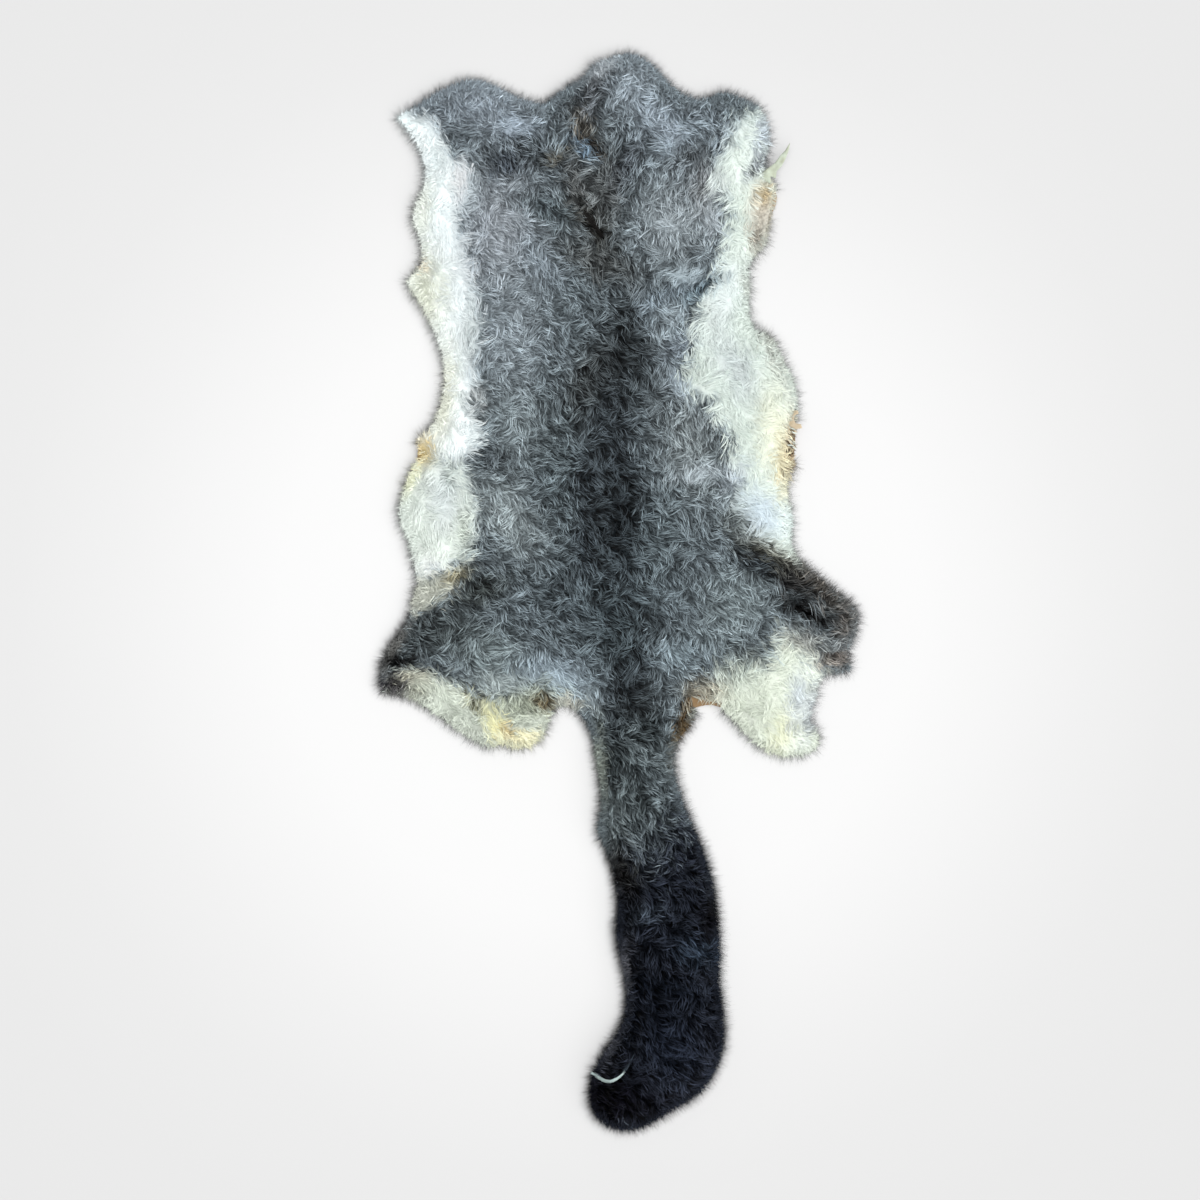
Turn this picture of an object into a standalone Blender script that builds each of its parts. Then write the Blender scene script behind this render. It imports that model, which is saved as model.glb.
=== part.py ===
"""A possum skin laid out flat with its fur up: one tanned hide, with the tail skin left on.

Metres, with +Z up out of the fur and +Y towards the neck. The flesh side lies on the plane z = 0.
The tables below are in millimetres: x from the middle of the back, y from half-way down the skin.
"""

import math
import random
from collections import namedtuple

import bmesh
import bpy
import numpy as np
from mathutils import Vector, noise
from mathutils.geometry import delaunay_2d_cdt

MM = 0.001

# Heights above the floor, in millimetres
BACK_PILE = 18
TAIL_PILE = 29
RIM_PILE = 6
BARE_HIDE = 2.5

# How far in from the rim the fur reaches its full height, and where the body turns into the tail
BACK_ROUNDING = 30
TAIL_ROUNDING = 40
TAIL_TOP = -70
TAIL_FULL = -140

# The rim's locks: the width of a lock's root, the gap to the next root, how far the roots lie in from
# the outline and how far the locks reach out of them as shares of the fringe, and how much they vary
LOCK_ROOT = 5.6
LOCK_GAP = 4.2
ROOT_INSET = 0.6
LOCK_REACH = 1.15
LOCK_SPREAD = 0.25
LOCK_SWEEP = 0.45
LOCK_TIP_HEIGHT = 1.6
LEAST_FRINGE = 1.6
CHANCE_SEED = 7

# A lock bends once: how far out and how high the bend lies, and how much thinner the lock is there
BEND_OUT = 0.5
BEND_LIFT = 0.4
LOCK_THINNING = 0.62
TONGUE_THINNING = 0.8

# The fur's surface: the pitch of its points, and the span and height of its lumps
POINT_PITCH = 10.5
LUMP_SPAN = 26
LUMP_HEIGHT = 3.2

# How far points keep from the creases' own points and from the rim, as shares of the pitch
APART_FROM_CREASE = 0.6
APART_FROM_RIM = 0.45

# A crease's trough: the pitch of its points, where its banks and its slope lie as shares of its width,
# and how bluntly it fades out at its ends
CREASE_PITCH = 7
CREASE_BANK = 0.8
CREASE_SLOPE = 0.6
CREASE_FADE = 0.7

# The rim as it lies, clockwise from the left shoulder. Fringe is how far the hair reaches past the hide
Edge = namedtuple("Edge", "x y fringe")

NECK = (
    Edge(-160, 342, 3),
    Edge(-147, 350, 4),
    Edge(-129, 362, 5),
    Edge(-107, 370, 5),
    Edge(-90, 366, 5),
    Edge(-72, 357, 5),
    Edge(-53, 352, 4),
    Edge(-43, 361, 4),
    Edge(-27, 370, 4),
    Edge(-19, 381, 5),
    Edge(-6, 387, 6),
    Edge(10, 389, 6),
    Edge(25, 381, 6),
    Edge(35, 369, 5),
    Edge(46, 360, 5),
    Edge(59, 355, 4),
    Edge(73, 360, 4),
    Edge(88, 357, 5),
    Edge(103, 349, 5),
    Edge(109, 333, 5),
    Edge(109, 318, 5),
    Edge(105, 308, 3),
)
RIGHT_SHOULDER_HIDE = (
    Edge(107, 298, 0),
    Edge(114, 285, 0),
    Edge(110, 272, 0),
    Edge(106, 262, 0),
    Edge(105, 252, 0),
    Edge(97, 243, 0),
)
RIGHT_FLANK = (
    Edge(94, 236, 3),
    Edge(96, 219, 5),
    Edge(95, 200, 5),
    Edge(99, 189, 4),
    Edge(109, 186, 4),
    Edge(119, 169, 5),
    Edge(128, 148, 5),
    Edge(129, 130, 4),
    Edge(128, 112, 2),
    Edge(127, 94, 3),
    Edge(122, 75, 4),
    Edge(126, 54, 5),
    Edge(126, 33, 5),
    Edge(134, 20, 4),
)
RIGHT_HIND_FOOT = (
    Edge(148, 8, 4),
    Edge(163, -4, 4),
    Edge(172, -13, 4),
    Edge(171, -29, 4),
    Edge(164, -45, 3),
    Edge(167, -54, 2),
    Edge(157, -59, 3),
    Edge(146, -60, 4),
)
RIGHT_REAR_LOBE = (
    Edge(143, -77, 5),
    Edge(138, -89, 5),
    Edge(146, -103, 6),
    Edge(142, -115, 6),
    Edge(118, -120, 6),
    Edge(103, -114, 5),
    Edge(90, -103, 5),
    Edge(77, -88, 4),
    Edge(68, -81, 0),
    Edge(56, -83, 0),
    Edge(51, -95, 2),
    Edge(43, -109, 5),
)
TAIL = (
    Edge(41, -121, 6),
    Edge(45, -142, 6),
    Edge(54, -165, 6),
    Edge(64, -190, 6),
    Edge(71, -218, 6),
    Edge(74, -250, 6),
    Edge(74, -280, 6),
    Edge(77, -305, 6),
    Edge(77, -327, 6),
    Edge(70, -347, 7),
    Edge(58, -363, 7),
    Edge(42, -373, 7),
    Edge(27, -382, 7),
    Edge(11, -389, 7),
    Edge(-7, -387, 7),
    Edge(-19, -378, 7),
    Edge(-24, -364, 7),
    Edge(-20, -342, 6),
    Edge(-9, -325, 6),
    Edge(1, -307, 6),
    Edge(3, -285, 6),
    Edge(-4, -248, 6),
    Edge(-3, -220, 6),
    Edge(-9, -192, 6),
    Edge(-17, -172, 6),
    Edge(-15, -152, 6),
    Edge(-19, -115, 6),
)
LEFT_REAR_LOBE = (
    Edge(-23, -96, 4),
    Edge(-31, -84, 2),
    Edge(-42, -80, 1),
    Edge(-49, -88, 3),
    Edge(-52, -103, 5),
    Edge(-63, -112, 5),
    Edge(-76, -113, 3),
    Edge(-84, -108, 1),
    Edge(-93, -112, 3),
    Edge(-110, -105, 5),
    Edge(-127, -92, 4),
    Edge(-146, -79, 4),
    Edge(-162, -73, 3),
)
LEFT_HIND_FOOT = (
    Edge(-170, -72, 2),
    Edge(-172, -60, 3),
    Edge(-170, -45, 4),
    Edge(-155, -23, 4),
    Edge(-150, -14, 4),
    Edge(-150, -5, 3),
    Edge(-145, 3, 2),
)
LEFT_FLANK = (
    Edge(-148, 17, 4),
    Edge(-153, 36, 5),
    Edge(-160, 54, 5),
    Edge(-156, 76, 5),
    Edge(-148, 94, 4),
    Edge(-145, 104, 1),
    Edge(-144, 111, 1),
    Edge(-137, 118, 4),
    Edge(-129, 138, 5),
    Edge(-127, 158, 5),
    Edge(-132, 181, 5),
    Edge(-143, 204, 5),
    Edge(-154, 225, 4),
    Edge(-144, 234, 4),
    Edge(-144, 250, 5),
    Edge(-150, 271, 5),
    Edge(-141, 297, 5),
    Edge(-143, 314, 4),
    Edge(-150, 328, 4),
)
OUTLINE = (
    *NECK,
    *RIGHT_SHOULDER_HIDE,
    *RIGHT_FLANK,
    *RIGHT_HIND_FOOT,
    *RIGHT_REAR_LOBE,
    *TAIL,
    *LEFT_REAR_LOBE,
    *LEFT_HIND_FOOT,
    *LEFT_FLANK,
)

# Where the hide folds or the fur parts: a trough from one end to the other, bowed to its left
Crease = namedtuple("Crease", "x0 y0 x1 y1 bow width depth")

CREASES = {
    "parting on the spine": Crease(-26, 275, -9, 251, -2, 6, 9),
    "left shoulder nick": Crease(-109, 326, -95, 303, 2, 7, 5),
    "left shoulder fold": Crease(-94, 318, -34, 311, -4, 10, 4.5),
    "left waist wedge": Crease(-120, 102, -76, 76, 3, 9, 8),
    "left groin fold": Crease(-152, 13, -104, 22, -4, 9, 5),
    "left foot fold": Crease(-176, -49, -140, -48, 1, 8, 7),
    "left lobe trough": Crease(-118, -62, -96, -86, -3, 10, 6),
    "upper wave on the right": Crease(8, 213, 82, 231, 5, 11, 5),
    "lower wave on the right": Crease(14, 193, 74, 209, -4, 11, 4.5),
    "right waist fold": Crease(-8, 140, 60, 163, 4, 12, 5),
    "right hip fold": Crease(76, 55, 124, 22, 4, 9, 6),
    "right foot fold": Crease(108, -4, 164, -27, 3, 9, 8),
    "right foot crease": Crease(114, 8, 150, 3, 2, 8, 5),
    "tail root": Crease(-34, -90, 58, -96, -4, 14, 5),
    "tail fold above": Crease(-22, -206, 82, -194, 5, 16, 5),
    "tail fold below": Crease(-10, -296, 90, -282, -5, 16, 5),
}

# Where the skin swells or sinks: the middle, how far it spreads, and its height
Swell = namedtuple("Swell", "x y spread height")

SWELLS = {
    "neck crest": Swell(8, 366, 30, 2.5),
    "left shoulder": Swell(-100, 346, 36, 2),
    "right shoulder": Swell(78, 336, 30, 2),
    "left of the spine": Swell(-62, 196, 60, 2),
    "right of the spine": Swell(48, 262, 40, 1.5),
    "left thigh": Swell(-130, 52, 30, 2),
    "right belly": Swell(98, 140, 36, 2),
    "left rump": Swell(-56, -52, 40, 3),
    "right rump": Swell(56, -40, 40, 3),
    "right rear lobe": Swell(114, -84, 28, 2.5),
    "tail's bend": Swell(28, -345, 34, 2),
}

# Where the hide shows with no fur on it: the middle, and how far it spreads
Bare = namedtuple("Bare", "x y spread")

BARE = {
    "right shoulder": Bare(108, 274, 24),
    "right of the tail": Bare(60, -76, 13),
    "left waist": Bare(-145, 106, 10),
}

# Loose tongues of hide at the rim: root, tip, and the height of the tip
Tongue = namedtuple("Tongue", "x0 y0 x1 y1 tip_height")

TONGUES = {
    "right shoulder tongue": Tongue(106, 300, 121, 322, 9),
    "right waist curl": Tongue(128, 128, 131, 121, 7),
}

# The pale flanks: how far from the middle their inner edge lies, from the shoulder down
Inner = namedtuple("Inner", "y away")

FLANK_INNER = {
    "left": (
        Inner(350, 140),
        Inner(306, 109),
        Inner(257, 116),
        Inner(199, 101),
        Inner(98, 108),
        Inner(29, 109),
        Inner(-14, 140),
    ),
    "right": (
        Inner(345, 90),
        Inner(306, 72),
        Inner(273, 81),
        Inner(188, 54),
        Inner(161, 52),
        Inner(108, 87),
        Inner(59, 83),
        Inner(25, 124),
    ),
}

# The pale rear lobes: the height of their upper edge, from the tail outwards
Upper = namedtuple("Upper", "away y")

LOBE_UPPER = {
    "left": (Upper(46, -77), Upper(59, -69), Upper(98, -75), Upper(131, -57), Upper(160, -60)),
    "right": (Upper(64, -66), Upper(74, -56), Upper(106, -51), Upper(119, -30), Upper(150, -60)),
}
BLACK_TAIL_TOP = -200

BARE_FROM = 0.5

COLOURS = {
    "grey_fur": (0.115, 0.135, 0.150),
    "pale_fur": (0.720, 0.760, 0.690),
    "black_fur": (0.010, 0.011, 0.018),
    "bare_hide": (0.420, 0.260, 0.130),
}
FUR_ROUGHNESS = 0.85


def mix(a, b, share):
    return a + (b - a) * share


def smooth_step(low, high, value):
    """0 up to low, 1 from high on, and a smooth rise between them."""
    share = min(max((value - low) / (high - low), 0.0), 1.0)
    return share * share * (3 - 2 * share)


def bell(distance, spread):
    return math.exp(-((distance / spread) ** 2))


def table_value(table, key):
    """The value between the rows of a (key, value) table."""
    rows = sorted(table)
    return float(np.interp(key, [row[0] for row in rows], [row[1] for row in rows]))


def curve_through(rows, steps=8):
    """A closed smooth curve through the rows, as a dense list of (x, y, fringe) vectors."""
    points = [Vector(row) for row in rows]
    count = len(points)
    dense = []
    for i in range(count):
        a, b, c, d = (points[(i + k - 1) % count] for k in range(4))
        knots = [0.0]
        for start, end in ((a, b), (b, c), (c, d)):
            knots.append(knots[-1] + math.sqrt((end - start).xy.length))
        t0, t1, t2, t3 = knots
        for step in range(steps):
            t = mix(t1, t2, step / steps)
            ab = a.lerp(b, (t - t0) / (t1 - t0))
            bc = b.lerp(c, (t - t1) / (t2 - t1))
            cd = c.lerp(d, (t - t2) / (t3 - t2))
            abc = ab.lerp(bc, (t - t0) / (t2 - t0))
            bcd = bc.lerp(cd, (t - t1) / (t3 - t1))
            dense.append(abc.lerp(bcd, (t - t1) / (t2 - t1)))
    return dense


def along(dense):
    """A function that gives the point at a distance along the closed curve, and the curve's length."""
    ring = np.array([tuple(p) for p in (*dense, dense[0])])
    lengths = np.hypot(*np.diff(ring[:, :2], axis=0).T)
    reached = np.concatenate([[0.0], np.cumsum(lengths)])
    total = reached[-1]

    def point_at(distance):
        return Vector([float(np.interp(distance % total, reached, ring[:, k])) for k in range(3)])

    return point_at, total


def hide_rim():
    """The hide's rim: a root and a gap in turn, with each point's way out and its fringe."""
    point_at, total = along(curve_through(OUTLINE))
    locks = round(total / (LOCK_ROOT + LOCK_GAP))
    pitch = total / locks
    root = pitch * LOCK_ROOT / (LOCK_ROOT + LOCK_GAP)
    rim = []
    for k in range(locks):
        for distance in (k * pitch, k * pitch + root):
            here = point_at(distance)
            ahead = point_at(distance + LOCK_ROOT)
            behind = point_at(distance - LOCK_ROOT)
            way = (ahead - behind).xy.normalized()
            out = Vector((-way.y, way.x))
            rim.append((here.xy - out * here.z * ROOT_INSET, out, here.z))
    return rim


def line_distances(points, starts, ends):
    """The distance of each point from each straight line between a start and an end."""
    points = np.asarray(points, float)[:, None, :]
    starts = np.asarray(starts, float)[None]
    ways = np.asarray(ends, float)[None] - starts
    share = ((points - starts) * ways).sum(-1) / (ways**2).sum(-1)
    nearest = starts + ways * np.clip(share, 0, 1)[..., None]
    return np.linalg.norm(points - nearest, axis=-1)


def inside(points, ring):
    """Whether each point lies inside the closed ring."""
    x, y = np.asarray(points, float).T[..., None]
    x0, y0 = np.asarray(ring, float).T
    x1, y1 = np.roll(x0, -1), np.roll(y0, -1)
    crosses = (y0 > y) != (y1 > y)
    at = x0 + (y - y0) * (x1 - x0) / np.where(y1 == y0, 1, y1 - y0)
    return (crosses & (x < at)).sum(axis=1) % 2 == 1


def crease_line(crease):
    """The middle of a crease, as points along its bowed line."""
    start, end = Vector(crease[:2]), Vector(crease[2:4])
    way = (end - start).normalized()
    side = Vector((-way.y, way.x))
    steps = max(3, round((end - start).length / CREASE_PITCH))
    shares = [step / steps for step in range(steps + 1)]
    return [start.lerp(end, share) + side * crease.bow * math.sin(math.pi * share) for share in shares]


def crease_points():
    """Points down the middle and both banks of each crease, so that its trough has a shape."""
    points = []
    for crease in CREASES.values():
        line = crease_line(crease)
        way = (line[-1] - line[0]).normalized()
        bank = Vector((-way.y, way.x)) * crease.width * CREASE_BANK
        points += [middle + bank * side for middle in line for side in (-1, 0, 1)]
    return points


def crease_depth(crease, x, y):
    """How far a crease draws the fur down at a point, deepest half-way along it."""
    line = [tuple(point) for point in crease_line(crease)]
    away = line_distances([(x, y)], line[:-1], line[1:]).min()
    start, end = Vector(crease[:2]), Vector(crease[2:4])
    share = (Vector((x, y)) - start).dot(end - start) / (end - start).length_squared
    fade = math.sin(math.pi * min(max(share, 0), 1)) ** CREASE_FADE
    return crease.depth * fade * bell(away, crease.width * CREASE_SLOPE)


def fur_points(ring):
    """Points all over the fur, in a triangle pattern with the creases' own points put in."""
    chosen = crease_points()
    size = [max(abs(p[k]) for p in ring) for k in (0, 1)]
    row_pitch = POINT_PITCH * math.sqrt(3) / 2
    grid = []
    for row in range(-int(size[1] / row_pitch), int(size[1] / row_pitch) + 1):
        for column in range(-int(size[0] / POINT_PITCH), int(size[0] / POINT_PITCH) + 1):
            grid.append(Vector(((column + (row % 2) / 2) * POINT_PITCH, row * row_pitch)))
    taken = np.asarray([tuple(p) for p in chosen])
    apart = np.linalg.norm(np.asarray(grid)[:, None] - taken[None], axis=-1).min(axis=1)
    chosen += [p for p, gap in zip(grid, apart) if gap > POINT_PITCH * APART_FROM_CREASE]
    kept = inside(chosen, ring)
    from_rim = line_distances(chosen, ring, ring[1:] + ring[:1]).min(axis=1)
    least = POINT_PITCH * APART_FROM_RIM
    return [p for p, within, gap in zip(chosen, kept, from_rim) if within and gap > least]


def bareness(x, y):
    """1 on bare hide, and 0 where the fur stands."""
    return max(bell(math.hypot(x - b.x, y - b.y), b.spread) ** 2 for b in BARE.values())


def fur_top(x, y, from_rim):
    """The height of the fur's top, from_rim being the way in from the hide's rim."""
    tail = smooth_step(-TAIL_TOP, -TAIL_FULL, -y)
    full = mix(BACK_PILE, TAIL_PILE, tail)
    rise = min(from_rim / mix(BACK_ROUNDING, TAIL_ROUNDING, tail), 1.0)
    height = mix(RIM_PILE, full, math.sqrt(1 - (1 - rise) ** 2))
    for swell in SWELLS.values():
        height += swell.height * rise * bell(math.hypot(x - swell.x, y - swell.y), swell.spread)
    height -= sum(crease_depth(crease, x, y) for crease in CREASES.values())
    height += LUMP_HEIGHT * rise * noise.noise(Vector((x, y, 0)) / LUMP_SPAN)
    return max(mix(height, BARE_HIDE, bareness(x, y)), BARE_HIDE)


def slab(bm, rim):
    """The hide and its fur as one closed slab. Returns the floor vertices of its rim, in order."""
    ring = [tuple(point) for point, _, _ in rim]
    inner = fur_points(ring)
    outline = list(range(len(ring)))
    points, _, faces, origins, *_ = delaunay_2d_cdt([Vector(p) for p in ring] + inner, [], [outline], 1, 1e-4)
    if len(points) != len(ring) + len(inner):
        raise ValueError("the rim crosses itself")
    floor = [bm.verts.new((p.x * MM, p.y * MM, 0)) for p in points]
    for face in faces:
        bm.faces.new([floor[i] for i in face])
    raised = bmesh.ops.extrude_face_region(bm, geom=bm.faces[:], use_keep_orig=True)["geom"]
    tops = [v for v in raised if isinstance(v, bmesh.types.BMVert)]
    flat = [(v.co.x / MM, v.co.y / MM) for v in tops]
    gaps = line_distances(flat, ring, ring[1:] + ring[:1]).min(axis=1)
    for vert, (x, y), gap in zip(tops, flat, gaps):
        vert.co.z = fur_top(x, y, float(gap)) * MM
    floor_verts = set(floor)
    under = [f for f in bm.faces if all(v in floor_verts for v in f.verts)]
    bmesh.ops.dissolve_faces(bm, faces=under, use_verts=True)
    place = {origin: i for i, origins_here in enumerate(origins) for origin in origins_here}
    return [floor[place[i]] for i in outline]


def grow(bm, wall, way, reach, tip_height, thinning):
    """Draws a wall of the rim out into a four-sided lock that bends once and ends in a point."""
    lock = bmesh.ops.extrude_discrete_faces(bm, faces=[wall])["faces"][0]
    middle = lock.calc_center_median()
    bend = middle + Vector((*(way * reach * BEND_OUT), 0)) * MM
    bend.z = mix(middle.z, tip_height * MM, BEND_LIFT)
    for vert in lock.verts:
        vert.co = bend + (vert.co - middle) * thinning
    tip = bmesh.ops.poke(bm, faces=[lock])["verts"][0]
    tip.co = middle + Vector((*(way * reach), 0)) * MM
    tip.co.z = tip_height * MM


def rim_wall(floor_start, floor_end):
    """The upright face of the slab between two neighbours on the rim."""
    shared = set(floor_start.link_faces) & set(floor_end.link_faces)
    return min(shared, key=lambda face: len(face.verts))


def locks(bm, rim, floor):
    """A lock on each root of the rim that has fringe, and the loose tongues of hide."""
    chance = random.Random(CHANCE_SEED)
    roots = range(0, len(rim), 2)
    tongues = {}
    for tongue in TONGUES.values():
        start = Vector(tongue[:2])
        nearest = min(roots, key=lambda i: (rim[i][0].lerp(rim[i + 1][0], 0.5) - start).length)
        tongues[nearest] = tongue
    walls = {i: rim_wall(floor[i], floor[(i + 1) % len(floor)]) for i in roots}
    for i, wall in walls.items():
        spread = 1 + chance.uniform(-LOCK_SPREAD, LOCK_SPREAD)
        turn = chance.uniform(-LOCK_SPREAD, LOCK_SPREAD)
        middle = rim[i][0].lerp(rim[i + 1][0], 0.5)
        if i in tongues:
            way = Vector(tongues[i][2:4]) - middle
            grow(bm, wall, way.normalized(), way.length, tongues[i].tip_height, TONGUE_THINNING)
            continue
        fringe = (rim[i][2] + rim[i + 1][2]) / 2
        if fringe < LEAST_FRINGE:
            continue
        out = (rim[i][1] + rim[i + 1][1]).normalized()
        sweep = -LOCK_SWEEP * (1 - abs(out.y)) * Vector((0, 1))
        way = (out + sweep + turn * Vector((-out.y, out.x))).normalized()
        reach = LOCK_REACH * fringe * spread / way.dot(out)
        grow(bm, wall, way, reach, LOCK_TIP_HEIGHT, LOCK_THINNING)


def fur_kind(x, y):
    """The material that a face of the fur has."""
    side = "left" if x < 0 else "right"
    flank, lobe = FLANK_INNER[side], LOBE_UPPER[side]
    if bareness(x, y) > BARE_FROM:
        return "bare_hide"
    if y < BLACK_TAIL_TOP:
        return "black_fur"
    if y > flank[-1].y and abs(x) > table_value(flank, y):
        return "pale_fur"
    if lobe[0].away < abs(x) < lobe[-1].away and y < table_value(lobe, abs(x)):
        return "pale_fur"
    return "grey_fur"


def fur_materials(mesh):
    """One material for each kind of fur, given to the faces by their place."""
    order = {}
    for name, colour in COLOURS.items():
        material = bpy.data.materials.new(name)
        material.use_nodes = True
        shader = material.node_tree.nodes["Principled BSDF"]
        shader.inputs["Base Color"].default_value = (*colour, 1)
        shader.inputs["Roughness"].default_value = FUR_ROUGHNESS
        shader.inputs["Metallic"].default_value = 0
        material.diffuse_color = (*colour, 1)
        order[name] = len(mesh.materials)
        mesh.materials.append(material)
    for polygon in mesh.polygons:
        x, y, _ = polygon.center / MM
        polygon.material_index = order[fur_kind(x, y)]


def pelt():
    """The whole skin as one closed mesh, its box centred over the origin."""
    rim = hide_rim()
    bm = bmesh.new()
    floor = slab(bm, rim)
    locks(bm, rim, floor)
    bmesh.ops.recalc_face_normals(bm, faces=bm.faces[:])
    low = [min(v.co[k] for v in bm.verts) for k in (0, 1)]
    high = [max(v.co[k] for v in bm.verts) for k in (0, 1)]
    shift = Vector((-(low[0] + high[0]) / 2, -(low[1] + high[1]) / 2, 0))
    mesh = bpy.data.meshes.new("pelt")
    bmesh.ops.triangulate(bm, faces=[f for f in bm.faces if len(f.verts) > 4])
    bm.to_mesh(mesh)
    bm.free()
    fur_materials(mesh)
    for vert in mesh.vertices:
        vert.co += shift
    mesh.shade_smooth()
    return bpy.data.objects.new("pelt", mesh)


def main():
    for obj in list(bpy.data.objects):
        bpy.data.objects.remove(obj, do_unlink=True)
    collection = bpy.data.collections.new("possum_skin")
    bpy.context.scene.collection.children.link(collection)
    collection.objects.link(pelt())


main()
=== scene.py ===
"""A possum skin laid out flat with its fur up: thin leather, dense underfur and locks of hair lying over it.

The scene is in metres and the work here is in millimetres, in the model's frame. Places in the tables are
pixels of the photograph, x to the right and y down, which pixels_to_mm turns into the frame.
"""

import math
from collections import namedtuple

import bmesh
import bpy
import numpy as np
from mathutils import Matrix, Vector, noise
from mathutils.bvhtree import BVHTree
from mathutils.geometry import delaunay_2d_cdt
from mathutils.kdtree import KDTree

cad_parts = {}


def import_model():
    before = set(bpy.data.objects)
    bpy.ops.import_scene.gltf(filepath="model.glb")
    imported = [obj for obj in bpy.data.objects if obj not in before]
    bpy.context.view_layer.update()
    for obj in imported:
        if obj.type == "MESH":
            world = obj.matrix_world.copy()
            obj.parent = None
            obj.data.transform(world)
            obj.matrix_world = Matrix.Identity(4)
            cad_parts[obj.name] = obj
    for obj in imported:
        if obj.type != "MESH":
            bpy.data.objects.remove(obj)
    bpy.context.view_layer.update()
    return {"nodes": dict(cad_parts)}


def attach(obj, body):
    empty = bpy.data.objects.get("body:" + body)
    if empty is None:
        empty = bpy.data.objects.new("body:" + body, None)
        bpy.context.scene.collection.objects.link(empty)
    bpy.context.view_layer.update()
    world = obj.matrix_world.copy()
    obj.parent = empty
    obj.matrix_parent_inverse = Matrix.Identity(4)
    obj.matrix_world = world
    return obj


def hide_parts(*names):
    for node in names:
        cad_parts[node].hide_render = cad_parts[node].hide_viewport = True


MM = 0.001
PIXEL = 0.72
SPINE_X = 618.5
HALF_WAY_Y = 593.5

CHANCE_SEED = 11

# The camera looks straight down on the middle of the photograph, which is this many pixels square
PHOTO_SIDE = 1200
CAMERA_HEIGHT = 2.4
SENSOR = 36.0

# The light: the sky's and the soft sun's share, how many degrees wide the sun is, and its tilt off the
# vertical about x and y
SKY = 0.42
SUN = 1.18
SUN_WIDTH = 84
SUN_TILT = (13, 22)

# The light that falls on the floor, and the floor's paleness by the distance from the camera's middle, which
# paints the light's fall-off towards the sides
FLOOR_LIGHT = 1.495
PAINTED_FLOOR_FALLOFF = ((0.17, 254), (0.23, 252.5), (0.29, 248), (0.35, 243), (0.42, 238.5), (0.5, 236), (0.6, 234.5))

# The fields over the skin: the pitch of their points and the room they leave round it, in millimetres
CELL = 1.5
ROOM = 15.0

# The leather: its thickness, how far in from the rim it ends under the fur, the pitch of its points under
# the fur and where it is bare, and how far it rises where it is bare
LEATHER = 1.2
LEATHER_INSET = 2.5
LEATHER_PITCH = 9.0
BARE_PITCH = 1.8
BARE_RISE = 1.5

# The underfur: how far below the fur's top it lies in dark and in pale fur, the pitch of its points, how far
# in from the rim it ends and how much further beside bare hide, how high its top lies at the rim, and how far
# its underside lies in the leather
UNDERFUR_BELOW = (7.5, 2.6)
UNDERFUR_PITCH = 3.8
UNDERFUR_INSET = 0.4
UNDERFUR_BARE_INSET = 1.5
UNDERFUR_RIM = 5.5
UNDERFUR_OVERLAP = 0.2

# The underside of a slab of leather or underfur, in the shade, has this share of its colour, and the points
# inside a slab keep this share of their pitch clear of its rim
SLAB_SHADE = 0.15
SLAB_ROOM = 0.45

# Beyond the rim the hair falls from the rim's height to the floor, over this distance
RIM_HEIGHT = 7.5
FLOOR_HAIR = 0.8
RIM_FALL = 11.0

# A layer of hair. In millimetres: the pitch of its clumps, a hair's length, how far a clump's roots spread,
# the width of a blade, how far it waves to the side and how far past the rim it may go. Pull is the share by
# which the tips are drawn together, bend how far a clump bows, low and high how high the tips lie as shares
# of the fur's height, dark the share of clumps that are dark guard hair, and tones the shade at each of the
# blade's levels, root first: the hair's own darker root and paler tip, the dark roots also standing in as
# painted shade deep in the fur
Layer = namedtuple("Layer", "pitch blades length spread width wave past pull bend low high dark levels tones")

LAYERS = {
    "under": Layer(
        2.75, 3, 8.6, 1.2, 0.74, 0.3, 1.0, 0.4, 0.35, 0.72, 0.92, 0.25,
        (0, 0.5, 1), (0.25, 0.65, 1.0),
    ),
    "over": Layer(
        2.1, 2, 8.2, 0.45, 0.62, 0.8, 2.0, 0.3, 0.55, 0.84, 1.04, 0.26,
        (0, 0.25, 0.5, 0.75, 1), (0.3, 0.75, 1.2, 1.5, 1.6),
    ),
}

# How far a hair's wave runs on from its root to its tip, in radians
WAVE_TURN = 5.2

# The hair's roots lie this far below the top of the underfur
ROOT_BELOW = 1.0

# A clump's shade: how much it differs from tuft to tuft, over wide stretches and from clump to clump, the
# least it may be, and the shade of dark guard hair
TUFT_SHADES = 0.2
WIDE_SHADES = 0.3
WIDE_SPAN = 18
CLUMP_SHADES = 0.24
LEAST_SHADE = 0.4
DARK_GUARD = 0.2

# How far hairs of two colours mix where they meet, as a share of the border's raggedness
HAIR_MIX = 0.6

# Pale hair lies more level: its tips are drawn to this share of the fur's height, by this share of the way
PALE_LIFT = 0.97
PALE_LIFT_PULL = 0.6

# The darkest and the palest linear colour that a hair may have
HAIR_COLOURS = (0.0015, 0.96)

# A tuft is fur whose hairs lie one way: the pitch of the tufts, how much their ways differ, how far ahead of
# a tuft's middle its hairs would meet, and how much darker its border is than its middle, as painted shade
# between the tufts
TUFT_PITCH = 8.5
TUFT_TURN = 0.42
TUFT_FOCUS = 18.0
TUFT_BORDER_SHADE = 0.3

# The hair at the rim: the pitch of its blades, how far in from the rim they stand, their length and width,
# and the most that their roots lie above the floor
RIM_PITCH = 0.135
RIM_INSET = 5.0
RIM_LENGTH = (3.8, 5.5)
RIM_WIDTH = 0.34
RIM_TOP = 12.0
RIM_BLEND = 13.0

# The fine fringe past the rim, the same measures. Its hair is darkened into painted shadow on the floor round
# the rim
FRINGE_PITCH = 0.056
FRINGE_INSET = 2.0
FRINGE_LENGTH = (3.0, 12.0)
FRINGE_WIDTH = 0.14

# Pale fur is painted darker near the rim, as shade where it curves down to the floor: by how much, and how
# far in
RIM_SHADE = 0.12
RIM_SHADE_DEPTH = 4.0

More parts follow.
